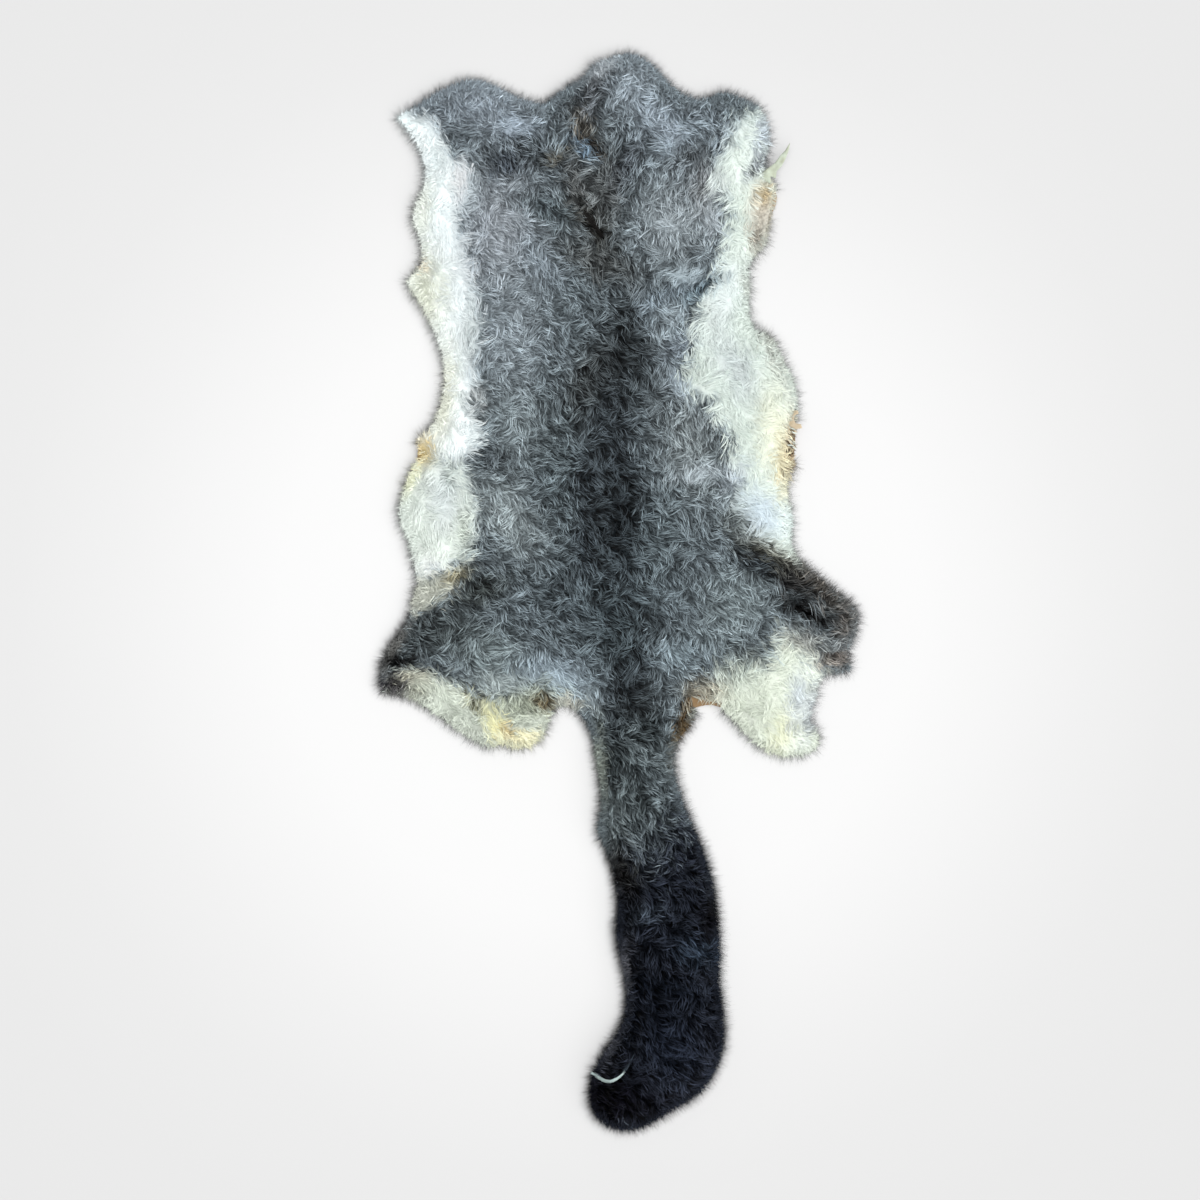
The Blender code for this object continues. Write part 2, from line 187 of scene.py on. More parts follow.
# How much paler than the photograph's colour a hair is, by that colour's linear brightness: hairs shade
# each other
GAIN_AT = (0.0, 0.02, 0.1, 0.3, 0.7, 1.0)
GAINS = (0.9, 1.1, 1.55, 1.6, 1.03, 0.95)

# Which way the hair lies: degrees from the right, anticlockwise seen from above
Comb = namedtuple("Comb", "x y angle")

COMB_PLACES = (
    (430, 110, -50), (520, 110, -55), (620, 70, -72), (700, 120, -62), (760, 130, -80),
    (430, 180, -52), (500, 190, -50), (570, 190, -62), (640, 190, -75), (700, 200, -95),
    (738, 190, -110), (763, 210, -25), (430, 280, -45), (490, 280, -38), (560, 280, -42),
    (620, 280, -48), (680, 280, -110), (740, 290, -125), (450, 370, -70), (500, 350, -22),
    (570, 350, -32), (640, 350, -45), (700, 350, -75), (760, 370, -45), (450, 440, -35),
    (510, 440, -20), (590, 440, -38), (650, 440, -35), (710, 450, -100), (770, 440, -28),
    (430, 510, -35), (500, 520, -35), (590, 520, -28), (650, 520, -35), (720, 500, -40),
    (440, 590, -25), (540, 590, -35), (620, 590, -45), (690, 590, -70), (780, 600, -30),
    (420, 660, -20), (500, 660, -55), (580, 660, -45), (680, 650, -45), (780, 700, -45),
    (480, 720, -30), (630, 740, -35), (640, 820, -48), (670, 900, -40), (680, 980, -52),
    (660, 1050, -50), (620, 1090, -25),
)
COMBS = [Comb(*place) for place in COMB_PLACES]
COMB_SPREAD = 42.0


def pixels_to_mm(x, y):
    """A place in the photograph as a place in the model's frame, in millimetres."""
    return (np.asarray(x, float) - SPINE_X) * PIXEL, (HALF_WAY_Y - np.asarray(y, float)) * PIXEL


def path_in_mm(path):
    """A path of pixels of the photograph as rows of places in millimetres."""
    return np.column_stack(pixels_to_mm(*np.array(path, float).T))


def mm_to_pixels(x, y):
    return np.asarray(x, float) / PIXEL + SPINE_X, HALF_WAY_Y - np.asarray(y, float) / PIXEL


def smooth_step(low, high, value):
    """0 up to low, 1 from high on, and a smooth rise between them."""
    share = np.clip((np.asarray(value, float) - low) / (high - low), 0, 1)
    return share * share * (3 - 2 * share)


def linear(colour):
    """An sRGB colour of 0 to 255 as the linear one that a shader takes."""
    share = np.asarray(colour, float) / 255
    return np.where(share <= 0.04045, share / 12.92, ((share + 0.055) / 1.055) ** 2.4)


def coherent(x, y, span, seed):
    """Smooth noise between about -1 and 1 with lumps of that span, at each place."""
    return np.array([noise.noise(Vector((a / span, b / span, seed * 7.31))) for a, b in zip(x, y)])


def raggedness(x, y):
    """How the border between two colours of fur wanders at each place, between about -1 and 1."""
    return coherent(x, y, 4, 5)


def directions(angle):
    """The unit vectors at these angles, one a row."""
    return np.column_stack([np.cos(angle), np.sin(angle)])


def repeated(colour, count):
    """Rows that all hold one colour."""
    return np.tile(np.array(colour, float), (count, 1))


# The fields over the skin


class Field:
    """Values at the points of a square grid, read anywhere between them."""

    def __init__(self, low, values):
        self.low = low
        self.values = values

    def at(self, x, y):
        rows, columns = self.values.shape
        column = np.clip((np.asarray(x) - self.low[0]) / CELL, 0, columns - 1.001)
        row = np.clip((np.asarray(y) - self.low[1]) / CELL, 0, rows - 1.001)
        i, j = row.astype(int), column.astype(int)
        v, u = row - i, column - j
        near = self.values[i, j] * (1 - u) + self.values[i, j + 1] * u
        far = self.values[i + 1, j] * (1 - u) + self.values[i + 1, j + 1] * u
        return near * (1 - v) + far * v


def underside_ring(node):
    """The outline of the CAD solid's flat underside, as an ordered ring in millimetres."""
    mesh = node.data
    mesh.calc_loop_triangles()
    points = np.array([v.co for v in mesh.vertices]) / MM
    keys = {}
    same = [keys.setdefault(tuple(p), i) for i, p in enumerate(np.round(points, 3))]
    edges = set()
    for triangle in mesh.loop_triangles:
        corners = [same[i] for i in triangle.vertices]
        if max(points[i][2] for i in corners) > 0.01:
            continue
        for a, b in zip(corners, corners[1:] + corners[:1]):
            if (b, a) in edges:
                edges.remove((b, a))
            else:
                edges.add((a, b))
    after = dict(edges)
    start = next(iter(sorted(after)))
    ring = [start]
    while after[ring[-1]] != start:
        ring.append(after[ring[-1]])
    return points[ring][:, :2]


def line_distances(x, y, ring):
    """How far each place is from the nearest side of the ring."""
    starts, ways = ring, np.roll(ring, -1, axis=0) - ring
    squares = (ways**2).sum(axis=1)
    best = np.full(x.size, np.inf)
    for start, way, square in zip(starts, ways, squares):
        dx, dy = x - start[0], y - start[1]
        share = np.clip((dx * way[0] + dy * way[1]) / square, 0, 1)
        best = np.minimum(best, (dx - share * way[0]) ** 2 + (dy - share * way[1]) ** 2)
    return np.sqrt(best)


def is_inside(x, y, ring):
    """Whether each place lies inside the closed ring."""
    crossings = np.zeros(x.size, int)
    for (x0, y0), (x1, y1) in zip(ring, np.roll(ring, -1, axis=0)):
        spans = (y0 > y) != (y1 > y)
        rise = y1 - y0 if y1 != y0 else 1.0
        crossings += spans & (x < x0 + (y - y0) * (x1 - x0) / rise)
    return crossings % 2 == 1


def skin_fields(node, ring):
    """How far each place is in from the rim, and the height of the fur's top there, as two fields."""
    low, high = ring.min(axis=0) - ROOM, ring.max(axis=0) + ROOM
    across = np.arange(low[0], high[0] + CELL, CELL)
    along = np.arange(low[1], high[1] + CELL, CELL)
    x, y = (g.ravel() for g in np.meshgrid(across, along))
    depth = line_distances(x, y, ring)
    within = is_inside(x, y, ring)
    depth = np.where(within, depth, -depth)
    mesh = node.data
    tree = BVHTree.FromPolygons([v.co for v in mesh.vertices], [tuple(p.vertices) for p in mesh.polygons])
    down = Vector((0, 0, -1))
    top = np.zeros(x.size)
    for i in np.flatnonzero(within):
        hit = tree.ray_cast(Vector((x[i] * MM, y[i] * MM, 0.1)), down)[0]
        top[i] = hit.z / MM if hit else RIM_HEIGHT
    fall = np.clip(1 + depth / RIM_FALL, 0, 1)
    top = np.where(within, top, FLOOR_HAIR + (RIM_HEIGHT - FLOOR_HAIR) * fall)
    shape = (along.size, across.size)
    top = top.reshape(shape)
    inner = top[1:-1, 1:-1]
    weighed = inner * 2 + top[:-2, 1:-1] + top[2:, 1:-1] + top[1:-1, :-2] + top[1:-1, 2:]
    top[1:-1, 1:-1] = weighed / 6
    return Field(low, depth.reshape(shape)), Field(low, top)


def outward(depth, x, y):
    """The angle of the shortest way out over the rim at each place."""
    step = 3.0
    dx = depth.at(x + step, y) - depth.at(x - step, y)
    dy = depth.at(x, y + step) - depth.at(x, y - step)
    return np.arctan2(-dy, -dx)


# The colours of the fur

# A stretch of fur of one colour: its outline, how softly it ends and how raggedly
Zone = namedtuple("Zone", "colour soft ragged outline")

BACK = (103, 113, 118)

ZONES = {
    "left flank": Zone(
        (242, 249, 249),
        8,
        7,
        ((385, 108), (412, 114), (432, 121), (442, 147), (456, 168), (462, 190), (458, 237), (466, 248))
        + ((474, 286), (480, 317), (476, 340), (475, 378), (468, 405), (482, 437), (470, 460), (440, 462))
        + ((380, 470), (360, 300)),
    ),
    "left thigh": Zone(
        (225, 233, 226),
        10,
        6,
        ((380, 455), (430, 458), (462, 464), (476, 500), (476, 527), (467, 553), (460, 560), (426, 572))
        + ((412, 584), (370, 590)),
    ),
    "left groin": Zone(
        (178, 181, 171),
        7,
        6,
        ((396, 580), (430, 578), (466, 566), (456, 590), (438, 606), (405, 618), (390, 600)),
    ),
    "right flank": Zone(
        (203, 213, 206),
        8,
        7,
        ((780, 108), (736, 114), (725, 140), (718, 168), (727, 198), (731, 214), (722, 244), (717, 280))
        + ((700, 301), (694, 332), (690, 360), (683, 390), (700, 398), (712, 400), (715, 425), (735, 437))
        + ((728, 466), (738, 484), (732, 511), (738, 526), (755, 540), (770, 552), (795, 562), (830, 540))
        + ((830, 300), (800, 108)),
    ),
    "left rear lobe": Zone(
        (170, 176, 166),
        5,
        5,
        ((392, 673), (437, 673), (458, 686), (482, 698), (498, 701), (536, 688), (552, 702), (560, 770))
        + ((380, 770), (380, 690)),
    ),
    "right rear lobe": Zone(
        (209, 216, 203),
        16,
        8,
        ((700, 712), (721, 671), (766, 665), (784, 630), (816, 658), (828, 680), (840, 770), (740, 780)),
    ),
    "black tail": Zone(
        (35, 39, 48),
        40,
        24,
        ((560, 860), (620, 866), (665, 836), (720, 800), (800, 1160), (540, 1160)),
    ),
}


def zone_depth(x, y, outline):
    """How far in from a zone's outline each place is, in pixels; below 0 outside."""
    ring = np.array(outline, float)
    gap = line_distances(x, y, ring)
    return np.where(is_inside(x, y, ring), gap, -gap)


# A soft patch of another colour or shade, some of them painted shade in the fur's folds, hollows and waves:
# its middle, how far it spreads along and across, the angle it lies at in degrees anticlockwise, and how
# strongly it covers
Patch = namedtuple("Patch", "x y along across angle strength colour")

# How sharply a patch ends, and how far in pixels its border wanders
PATCH_FALL = 1.3
PATCH_SHIFT = 4

PATCHES = {
    "left neck": Patch(480, 108, 62, 32, -10, 0.6, (158, 168, 178)),
    "crest": Patch(630, 88, 36, 30, 80, 0.6, (153, 163, 171)),
    "right neck": Patch(672, 140, 46, 30, -50, 0.65, (142, 154, 163)),
    "right neck edge": Patch(715, 120, 34, 16, -20, 0.5, (144, 155, 164)),
    "left shoulder": Patch(500, 228, 66, 42, 85, 0.7, (158, 163, 169)),
    "right shoulder": Patch(672, 222, 46, 38, 90, 0.75, (153, 161, 165)),
    "left back": Patch(512, 330, 66, 40, 95, 0.6, (152, 161, 167)),
    "right back": Patch(664, 328, 28, 24, 50, 0.6, (168, 180, 186)),
    "left loin": Patch(520, 425, 44, 34, 110, 0.4, (160, 171, 173)),
    "right loin": Patch(690, 445, 58, 32, 100, 0.65, (141, 149, 150)),
    "left hip": Patch(508, 515, 52, 26, 125, 0.55, (155, 164, 164)),
    "right hip": Patch(735, 605, 44, 34, 60, 0.6, (139, 151, 153)),
    "rump left": Patch(490, 655, 44, 24, -15, 0.5, (129, 141, 140)),
    "rump behind": Patch(556, 676, 42, 20, -12, 0.75, (156, 171, 181)),
    "rump right": Patch(678, 654, 30, 15, 5, 0.6, (141, 157, 164)),
    # Painted shade in a hollow of the neck
    "painted shade in the neck hollow": Patch(535, 152, 40, 14, -25, 0.5, (59, 65, 69)),
    "dark beside the crest": Patch(590, 102, 40, 13, 75, 0.7, (81, 84, 88)),
    "dark below the crest": Patch(626, 170, 40, 13, 60, 0.6, (71, 76, 82)),
    "shoulder blade": Patch(548, 212, 34, 14, -15, 0.5, (73, 85, 89)),
    "between the shoulders": Patch(600, 200, 60, 20, 92, 0.5, (90, 90, 87)),
    "withers": Patch(600, 265, 52, 16, -20, 0.6, (75, 76, 74)),
    # Painted shading of a wave in the fur
    "painted shading of the wave above the back": Patch(672, 294, 32, 7, 22, 0.5, (132, 147, 158)),
    "dark right back": Patch(676, 350, 24, 10, 20, 0.5, (114, 123, 133)),
    "spine above": Patch(628, 350, 60, 26, 84, 0.9, (52, 58, 61)),
    "spine left": Patch(590, 385, 40, 22, 70, 0.6, (40, 41, 39)),
    "spine middle": Patch(610, 440, 66, 24, 92, 0.9, (59, 66, 71)),
    "spine below": Patch(620, 520, 62, 30, 84, 0.85, (36, 42, 46)),
    "left of the spine": Patch(562, 470, 80, 26, 95, 0.4, (63, 73, 76)),
    "right of the spine": Patch(660, 540, 50, 24, 80, 0.4, (99, 112, 116)),
    "croup": Patch(600, 600, 50, 70, 90, 0.4, (44, 53, 58)),
    "tail root": Patch(628, 686, 50, 22, 78, 0.75, (34, 39, 43)),
    # Painted shade in the notch at the waist
    "painted shade in the waist notch": Patch(490, 458, 22, 8, -10, 0.85, (72, 79, 83)),
    # Painted shade in a fold
    "painted shade in the left fold": Patch(482, 590, 26, 14, 20, 0.8, (56, 61, 59)),
    "left leg": Patch(440, 630, 44, 22, 25, 0.5, (56, 62, 61)),
    # Painted shading of waves in the fur
    "painted shading of the right loin waves": Patch(722, 492, 26, 9, -15, 0.6, (119, 129, 131)),
    "bluish right loin": Patch(700, 474, 30, 9, 5, 0.5, (174, 183, 189)),
    "bluish right waist": Patch(760, 516, 30, 22, -45, 0.75, (189, 202, 213)),
    "right leg edge": Patch(775, 560, 48, 13, -32, 0.85, (80, 79, 70)),
    "right foot rim": Patch(822, 590, 36, 12, -42, 0.8, (78, 72, 66)),
    "right foot slit": Patch(806, 612, 28, 7, -25, 0.95, (8, 7, 6)),
    "right foot toe": Patch(844, 624, 22, 12, 80, 0.8, (92, 87, 82)),
    "right foot heel": Patch(836, 660, 18, 9, 10, 0.8, (111, 101, 93)),
    "right foot sole": Patch(806, 640, 26, 12, -20, 0.6, (147, 146, 140)),
    "left foot rim": Patch(392, 650, 34, 8, 60, 0.8, (103, 101, 97)),
    "left foot tip": Patch(392, 686, 20, 10, -8, 0.95, (50, 48, 51)),
    "left foot olive": Patch(414, 676, 20, 7, -5, 0.7, (139, 133, 117)),
    "left lobe olive": Patch(532, 702, 32, 18, 10, 0.75, (133, 140, 124)),
    "left lobe brown": Patch(545, 703, 12, 7, -35, 0.7, (86, 68, 41)),
    "right lobe grey": Patch(738, 672, 24, 18, 45, 0.6, (134, 142, 135)),
    "right lobe yellow": Patch(786, 728, 26, 15, 60, 0.7, (249, 251, 217)),
    "right lobe blue": Patch(812, 712, 34, 7, 80, 0.5, (93, 97, 113)),
    "parting": Patch(593, 227, 26, 8, -55, 0.9, (39, 38, 34)),
    "brown left of the crest": Patch(584, 126, 18, 7, -55, 0.5, (104, 93, 76)),
    "olive on the neck": Patch(556, 158, 12, 7, 30, 0.6, (98, 90, 74)),
    "steel blue on the neck": Patch(584, 152, 16, 7, -50, 0.7, (123, 150, 174)),
    "brown by the parting": Patch(574, 190, 34, 12, 95, 0.5, (73, 70, 66)),
    "steel blue on the back": Patch(674, 384, 20, 12, -60, 0.75, (177, 190, 199)),
    "withers blue": Patch(684, 278, 22, 9, 0, 0.75, (168, 181, 187)),
    "white inside the left flank": Patch(440, 190, 50, 14, 100, 0.7, (240, 249, 250)),
    "left armpit grey": Patch(405, 122, 24, 9, -40, 0.5, (244, 255, 255)),
    "cream rim on the left": Patch(424, 292, 46, 20, 95, 0.7, (218, 221, 201)),
    "cream in the left armpit": Patch(423, 210, 30, 12, 80, 0.6, (237, 241, 228)),
    "tan notch on the left": Patch(421, 262, 13, 4, -60, 0.7, (191, 174, 150)),
    "left flank cream": Patch(440, 400, 50, 16, 85, 0.5, (225, 224, 197)),
    "ochre waist": Patch(424, 452, 15, 9, 100, 0.8, (167, 143, 88)),
    "cream thigh rim": Patch(410, 476, 24, 9, 60, 0.6, (255, 255, 215)),
    "bluish thigh": Patch(446, 500, 34, 18, 95, 0.5, (183, 190, 196)),
    "groin dark rim": Patch(458, 576, 16, 6, 20, 0.7, (122, 113, 84)),
    "white right shoulder": Patch(738, 165, 40, 9, 80, 0.6, (237, 246, 240)),
    "grey right shoulder": Patch(762, 138, 26, 9, 80, 0.6, (110, 117, 132)),
    "tan right shoulder": Patch(762, 212, 27, 14, 88, 0.9, (161, 154, 142)),
    "orange top of the lobe": Patch(764, 196, 12, 9, 70, 0.7, (149, 131, 97)),
    "grey right arm": Patch(756, 240, 16, 8, 80, 0.7, (114, 106, 96)),
    "bluish right flank": Patch(724, 300, 40, 18, 75, 0.5, (217, 224, 228)),
    "cool right belly": Patch(735, 370, 40, 20, -60, 0.5, (161, 167, 173)),
    "right belly cream": Patch(772, 430, 46, 16, 90, 0.6, (245, 245, 221)),
    "yellow right edge": Patch(783, 462, 36, 8, 90, 0.7, (171, 159, 125)),
    "tan right edge": Patch(792, 446, 34, 5, 90, 0.8, (86, 63, 38)),
    "rump middle": Patch(618, 634, 42, 30, 90, 0.6, (60, 70, 74)),
    "tail base": Patch(634, 778, 66, 40, 88, 0.75, (63, 70, 71)),
    "tail left olive": Patch(600, 762, 44, 7, 92, 0.6, (145, 151, 137)),
    "tail right brown": Patch(684, 722, 34, 6, 75, 0.7, (82, 55, 21)),
    "tail blue above": Patch(641, 746, 20, 10, -60, 0.6, (155, 168, 172)),
    "tail blue left": Patch(614, 818, 30, 12, 80, 0.65, (129, 140, 142)),
    "tail blue right": Patch(652, 782, 26, 11, -45, 0.55, (97, 107, 112)),
    "tail brown": Patch(622, 872, 30, 14, -70, 0.6, (22, 18, 13)),
    "tail sheen above": Patch(648, 912, 22, 12, 10, 0.7, (72, 82, 92)),
    "tail sheen right": Patch(698, 950, 26, 14, -20, 0.7, (53, 66, 80)),
    "tail black right": Patch(710, 914, 22, 12, 80, 0.8, (7, 7, 11)),
    # Painted shade in a fold of the tail
    "painted shade in the tail fold": Patch(660, 985, 50, 10, -10, 0.6, (10, 15, 23)),
    "tail sheen below": Patch(672, 1040, 44, 26, -60, 0.6, (36, 43, 57)),
    "tail end": Patch(612, 1096, 44, 22, -10, 0.85, (12, 11, 18)),
    "tail left edge": Patch(616, 1000, 60, 10, 80, 0.6, (147, 146, 148)),
    "dark streak on the neck": Patch(592, 147, 20, 5, -55, 0.85, (39, 33, 26)),
    "right lobe lavender": Patch(797, 705, 36, 12, 85, 0.5, (129, 137, 158)),
    # Painted shade in a fold of the pale fur
    "painted shade in the white fold right": Patch(733, 478, 20, 11, 50, 0.6, (161, 170, 178)),
    "right shoulder edge": Patch(704, 188, 34, 13, 95, 0.6, (129, 130, 131)),
    "left shoulder edge": Patch(470, 190, 26, 10, 90, 0.6, (182, 192, 196)),
    "left neck light": Patch(518, 131, 22, 10, 0, 0.6, (163, 176, 189)),
    "crest left light": Patch(602, 70, 20, 10, 40, 0.6, (174, 180, 184)),
    "left back edge": Patch(474, 326, 30, 8, 90, 0.6, (164, 172, 171)),
    # Painted shade in the pocket under the raised tongue
    "painted shade in the pocket above the tongue": Patch(756, 168, 17, 7, 52, 0.85, (107, 112, 117)),
    # Painted shade in a hollow of the thigh
    "painted shade in the thigh hollow": Patch(450, 482, 16, 9, 90, 0.5, (93, 102, 99)),
    "groin white": Patch(428, 566, 18, 11, 5, 0.6, (244, 247, 246)),
    "above the left lobe": Patch(500, 683, 28, 12, -8, 0.75, (163, 173, 172)),
    "brown left of the tail": Patch(572, 702, 22, 6, -12, 0.8, (165, 163, 151)),
    "brown right of the tail": Patch(704, 692, 22, 12, -6, 0.8, (137, 131, 115)),
    "thigh inner edge": Patch(466, 532, 30, 10, 92, 0.7, (135, 142, 134)),
    "dark left of the spine": Patch(585, 482, 34, 12, 90, 0.6, (37, 42, 47)),
    "dark low left of the spine": Patch(585, 542, 30, 12, 90, 0.5, (40, 46, 52)),
    "dark right of the spine": Patch(660, 400, 34, 14, 90, 0.6, (76, 83, 86)),
    "right leg top": Patch(758, 566, 24, 9, -20, 0.8, (44, 50, 55)),
    "right leg dark": Patch(796, 585, 18, 10, -35, 0.8, (39, 38, 38)),
    "grey above the right leg": Patch(738, 522, 22, 14, -60, 0.7, (113, 121, 121)),
    "left of the tail root": Patch(592, 698, 14, 10, -60, 0.75, (145, 157, 162)),
    "tail root black": Patch(648, 726, 26, 14, 75, 0.8, (48, 54, 56)),
    "left foot grey": Patch(421, 690, 14, 8, 0, 0.7, (125, 124, 109)),
    "left loin light": Patch(479, 402, 18, 9, 90, 0.8, (154, 158, 158)),
    "right shoulder light": Patch(719, 182, 18, 9, 80, 0.8, (199, 207, 203)),
    "right shoulder light below": Patch(711, 222, 22, 10, 95, 0.75, (160, 168, 173)),
    # Painted shade in a fold
    "painted shade in the fold above the right flank": Patch(702, 291, 24, 7, 35, 0.8, (80, 96, 105)),
    "dark on the left neck": Patch(508, 166, 18, 11, -20, 0.8, (61, 68, 76)),
    "light on the left back": Patch(543, 262, 32, 16, 120, 0.7, (140, 151, 159)),
    "grey right armpit": Patch(735, 116, 16, 10, 20, 0.7, (114, 126, 131)),
    "grey in the right flank": Patch(724, 146, 16, 9, 80, 0.6, (100, 110, 120)),
    "left shoulder white": Patch(461, 184, 18, 8, 90, 0.7, (255, 255, 255)),
    "right neck light": Patch(660, 126, 34, 12, -50, 0.7, (143, 153, 162)),
    "right neck dark": Patch(684, 160, 16, 9, 30, 0.8, (79, 85, 88)),
    "right back light": Patch(650, 308, 24, 12, 80, 0.7, (127, 139, 147)),
    "grey right flank rim": Patch(766, 335, 66, 7, -70, 0.6, (120, 120, 114)),
    "left lobe pale": Patch(446, 702, 42, 14, -38, 0.7, (187, 194, 183)),
    "left lobe pale rim": Patch(466, 731, 26, 9, -22, 0.6, (184, 190, 180)),
    "left lobe yellow": Patch(494, 722, 24, 9, -75, 0.7, (216, 213, 162)),
    "left lobe yellow rim": Patch(524, 740, 20, 8, 8, 0.7, (220, 213, 172)),
    "left lobe ochre": Patch(507, 731, 10, 6, -20, 0.7, (178, 156, 106)),
    # Painted shade in a trough of the lobe
    "left lobe trough": Patch(475, 700, 17, 6, -48, 0.7, (128, 126, 98)),
    "left foot slit": Patch(400, 661, 15, 5, 3, 0.95, (10, 10, 10)),
}

# A stretch of bare hide: its middle, half its length and width, and the angle of its length
Bare = namedtuple("Bare", "x y along across angle")

BARE = {
    "right shoulder": Bare(774, 210, 22, 4, 86),
    "right waist": Bare(795, 444, 24, 4, 90),
    "right of the tail": Bare(704, 703, 22, 9, -6),
    "left waist": Bare(416, 452, 12, 7, 110),
}

HIDE = (204, 184, 158)
HIDE_LIGHT = 1.45

HIDE_PATCHES = {
    "shoulder pale": Patch(762, 200, 14, 8, 80, 0.5, (222, 204, 176)),
    "shoulder brown": Patch(770, 213, 6, 3, -20, 0.8, (120, 98, 72)),
    "arm brown": Patch(757, 238, 9, 5, 80, 0.8, (120, 104, 82)),
    "arm end": Patch(752, 254, 6, 4, 60, 0.8, (112, 90, 66)),
    "waist dark": Patch(791, 436, 12, 4, 90, 0.8, (96, 72, 50)),
    "waist ochre": Patch(789, 470, 14, 6, 90, 0.7, (222, 206, 156)),
    "right of the tail": Patch(702, 701, 30, 16, 0, 0.95, (158, 128, 92)),
    "left waist": Patch(420, 452, 12, 8, 90, 0.8, (196, 166, 114)),
}

# A flap of bare hide that stands up: where its root and its tip are, how high its underside lies at both, its
# colour and its outline
Flap = namedtuple("Flap", "root tip low high colour outline")

FLAPS = {
    "shoulder_tongue": Flap(
        (758, 184),
        (788, 146),
        5.0,
        12.5,
        (186, 196, 180),
        ((749, 185), (755, 180), (761, 175), (767, 170), (774, 165), (779, 158), (784, 153), (789, 145))
        + ((788, 152), (785, 160), (781, 168), (776, 173), (775, 180), (770, 178), (770, 185), (764, 182))
        + ((757, 188),),
    ),
    "waist_hook": Flap(
        (788, 418),
        (801, 427),
        4.5,
        11.5,
        (214, 198, 172),
        ((797, 411), (792, 411), (787, 415), (786, 421), (789, 427), (795, 430), (801, 429), (800, 425))
        + ((795, 424), (793, 420), (794, 416), (798, 414)),
    ),
}
FLAP_THICKNESS = 0.9
FLAP_PITCH = 1.5

# A flap is steepest at its root: its height goes with this power of the way to its tip
FLAP_CURVE = 0.6

# A lock that lies apart from the rest: its colour, hairs, spread and blade width in millimetres, and its path
Lock = namedtuple("Lock", "colour hairs spread width path")

LOCKS = {
    "white crescent at the tail's bend": Lock(
        (190, 208, 206),
        80,
        1.9,
        0.35,
        ((591, 1071), (597, 1074), (604, 1077), (611, 1077), (617, 1074), (622, 1070), (625, 1066)),
    ),
    "grey end of the crescent": Lock(
        (52, 60, 68), 22, 1.6, 0.35, ((622, 1069), (627, 1062), (631, 1055), (634, 1049))
    ),
    "dark hairs in the parting": Lock(
        (22, 20, 18), 50, 3.0, 0.5, ((583, 212), (590, 221), (597, 231), (603, 240))
    ),
}


def within_spot(spot, px, py):
    """How far each place lies from a spot's middle, along and across it, as shares of its half sizes."""
    turn = math.radians(spot.angle)
    dx, dy = px - spot.x, spot.y - py
    along = dx * math.cos(turn) + dy * math.sin(turn)
    across = dy * math.cos(turn) - dx * math.sin(turn)
    return along / spot.along, across / spot.across


def covered(colour, patches, px, py):
    """Colours with the patches laid over them."""
    for patch in patches.values():
        along, across = within_spot(patch, px, py)
        far = along**2 + across**2
        cover = (patch.strength * np.exp(-(far**PATCH_FALL)))[:, None]
        colour = colour + cover * (np.array(patch.colour) - colour)
    return colour


def painted(x, y, ragged):
    """The fur's colour at each place, as three columns of 0 to 255."""
    px, py = mm_to_pixels(x, y)
    colour = repeated(BACK, px.size)
    for zone in ZONES.values():
        depth = zone_depth(px, py, zone.outline) + zone.ragged * ragged
        cover = smooth_step(-zone.soft, zone.soft, depth)[:, None]
        colour += cover * (np.array(zone.colour) - colour)
    shift = PATCH_SHIFT * ragged
    return covered(colour, PATCHES, px + shift, py - shift)


def hair_colour(x, y, ragged):
    """The linear colour of the hair at each place."""
    shown = linear(painted(x, y, ragged))
    return np.clip(shown * np.interp(shown.mean(axis=1), GAIN_AT, GAINS)[:, None], *HAIR_COLOURS)


def hide_colour(x, y):
    px, py = mm_to_pixels(x, y)
    return linear(covered(repeated(HIDE, px.size), HIDE_PATCHES, px, py)) / HIDE_LIGHT


def bareness(x, y):
    """1 on bare hide, 0 in the fur and a soft step between them."""
    px, py = mm_to_pixels(x, y)
    inside = np.full(px.size, -1.0)
    for spot in BARE.values():
        inside = np.maximum(inside, 1 - np.hypot(*within_spot(spot, px, py)))
    return smooth_step(-0.1, 0.25, inside)


# Meshes


def mesh_object(name, points, faces_by_size, colours=None):
    """An object from points in millimetres and arrays of faces, with a colour at each point."""
    mesh = bpy.data.meshes.new(name)
    mesh.vertices.add(len(points))
    mesh.vertices.foreach_set("co", (np.asarray(points) * MM).astype(np.float32).ravel())
    corners = np.concatenate([faces.ravel() for faces in faces_by_size])
    sizes = np.concatenate([np.full(len(faces), faces.shape[1]) for faces in faces_by_size])
    mesh.loops.add(len(corners))
    mesh.loops.foreach_set("vertex_index", corners.astype(np.int32))
    mesh.polygons.add(len(sizes))
    mesh.polygons.foreach_set("loop_start", np.concatenate([[0], np.cumsum(sizes)[:-1]]).astype(np.int32))
    mesh.update(calc_edges=True)
    mesh.shade_smooth()
    if colours is not None:
        layer = mesh.color_attributes.new("hair", "FLOAT_COLOR", "POINT")
        filled = np.concatenate([colours, np.ones((len(colours), 1))], axis=1)
        layer.data.foreach_set("color", filled.astype(np.float32).ravel())
    obj = bpy.data.objects.new(name, mesh)
    bpy.context.scene.collection.objects.link(obj)
    return obj


def triangle_points(low, high, pitch):
    """Points in a triangle pattern over a box."""
    rise = pitch * math.sqrt(3) / 2
    rows = np.arange(low[1], high[1], rise)
    columns = np.arange(low[0], high[0], pitch)
    x = columns[None, :] + (np.arange(rows.size) % 2)[:, None] * pitch / 2
    y = np.repeat(rows[:, None], columns.size, axis=1)
    return x.ravel(), y.ravel()


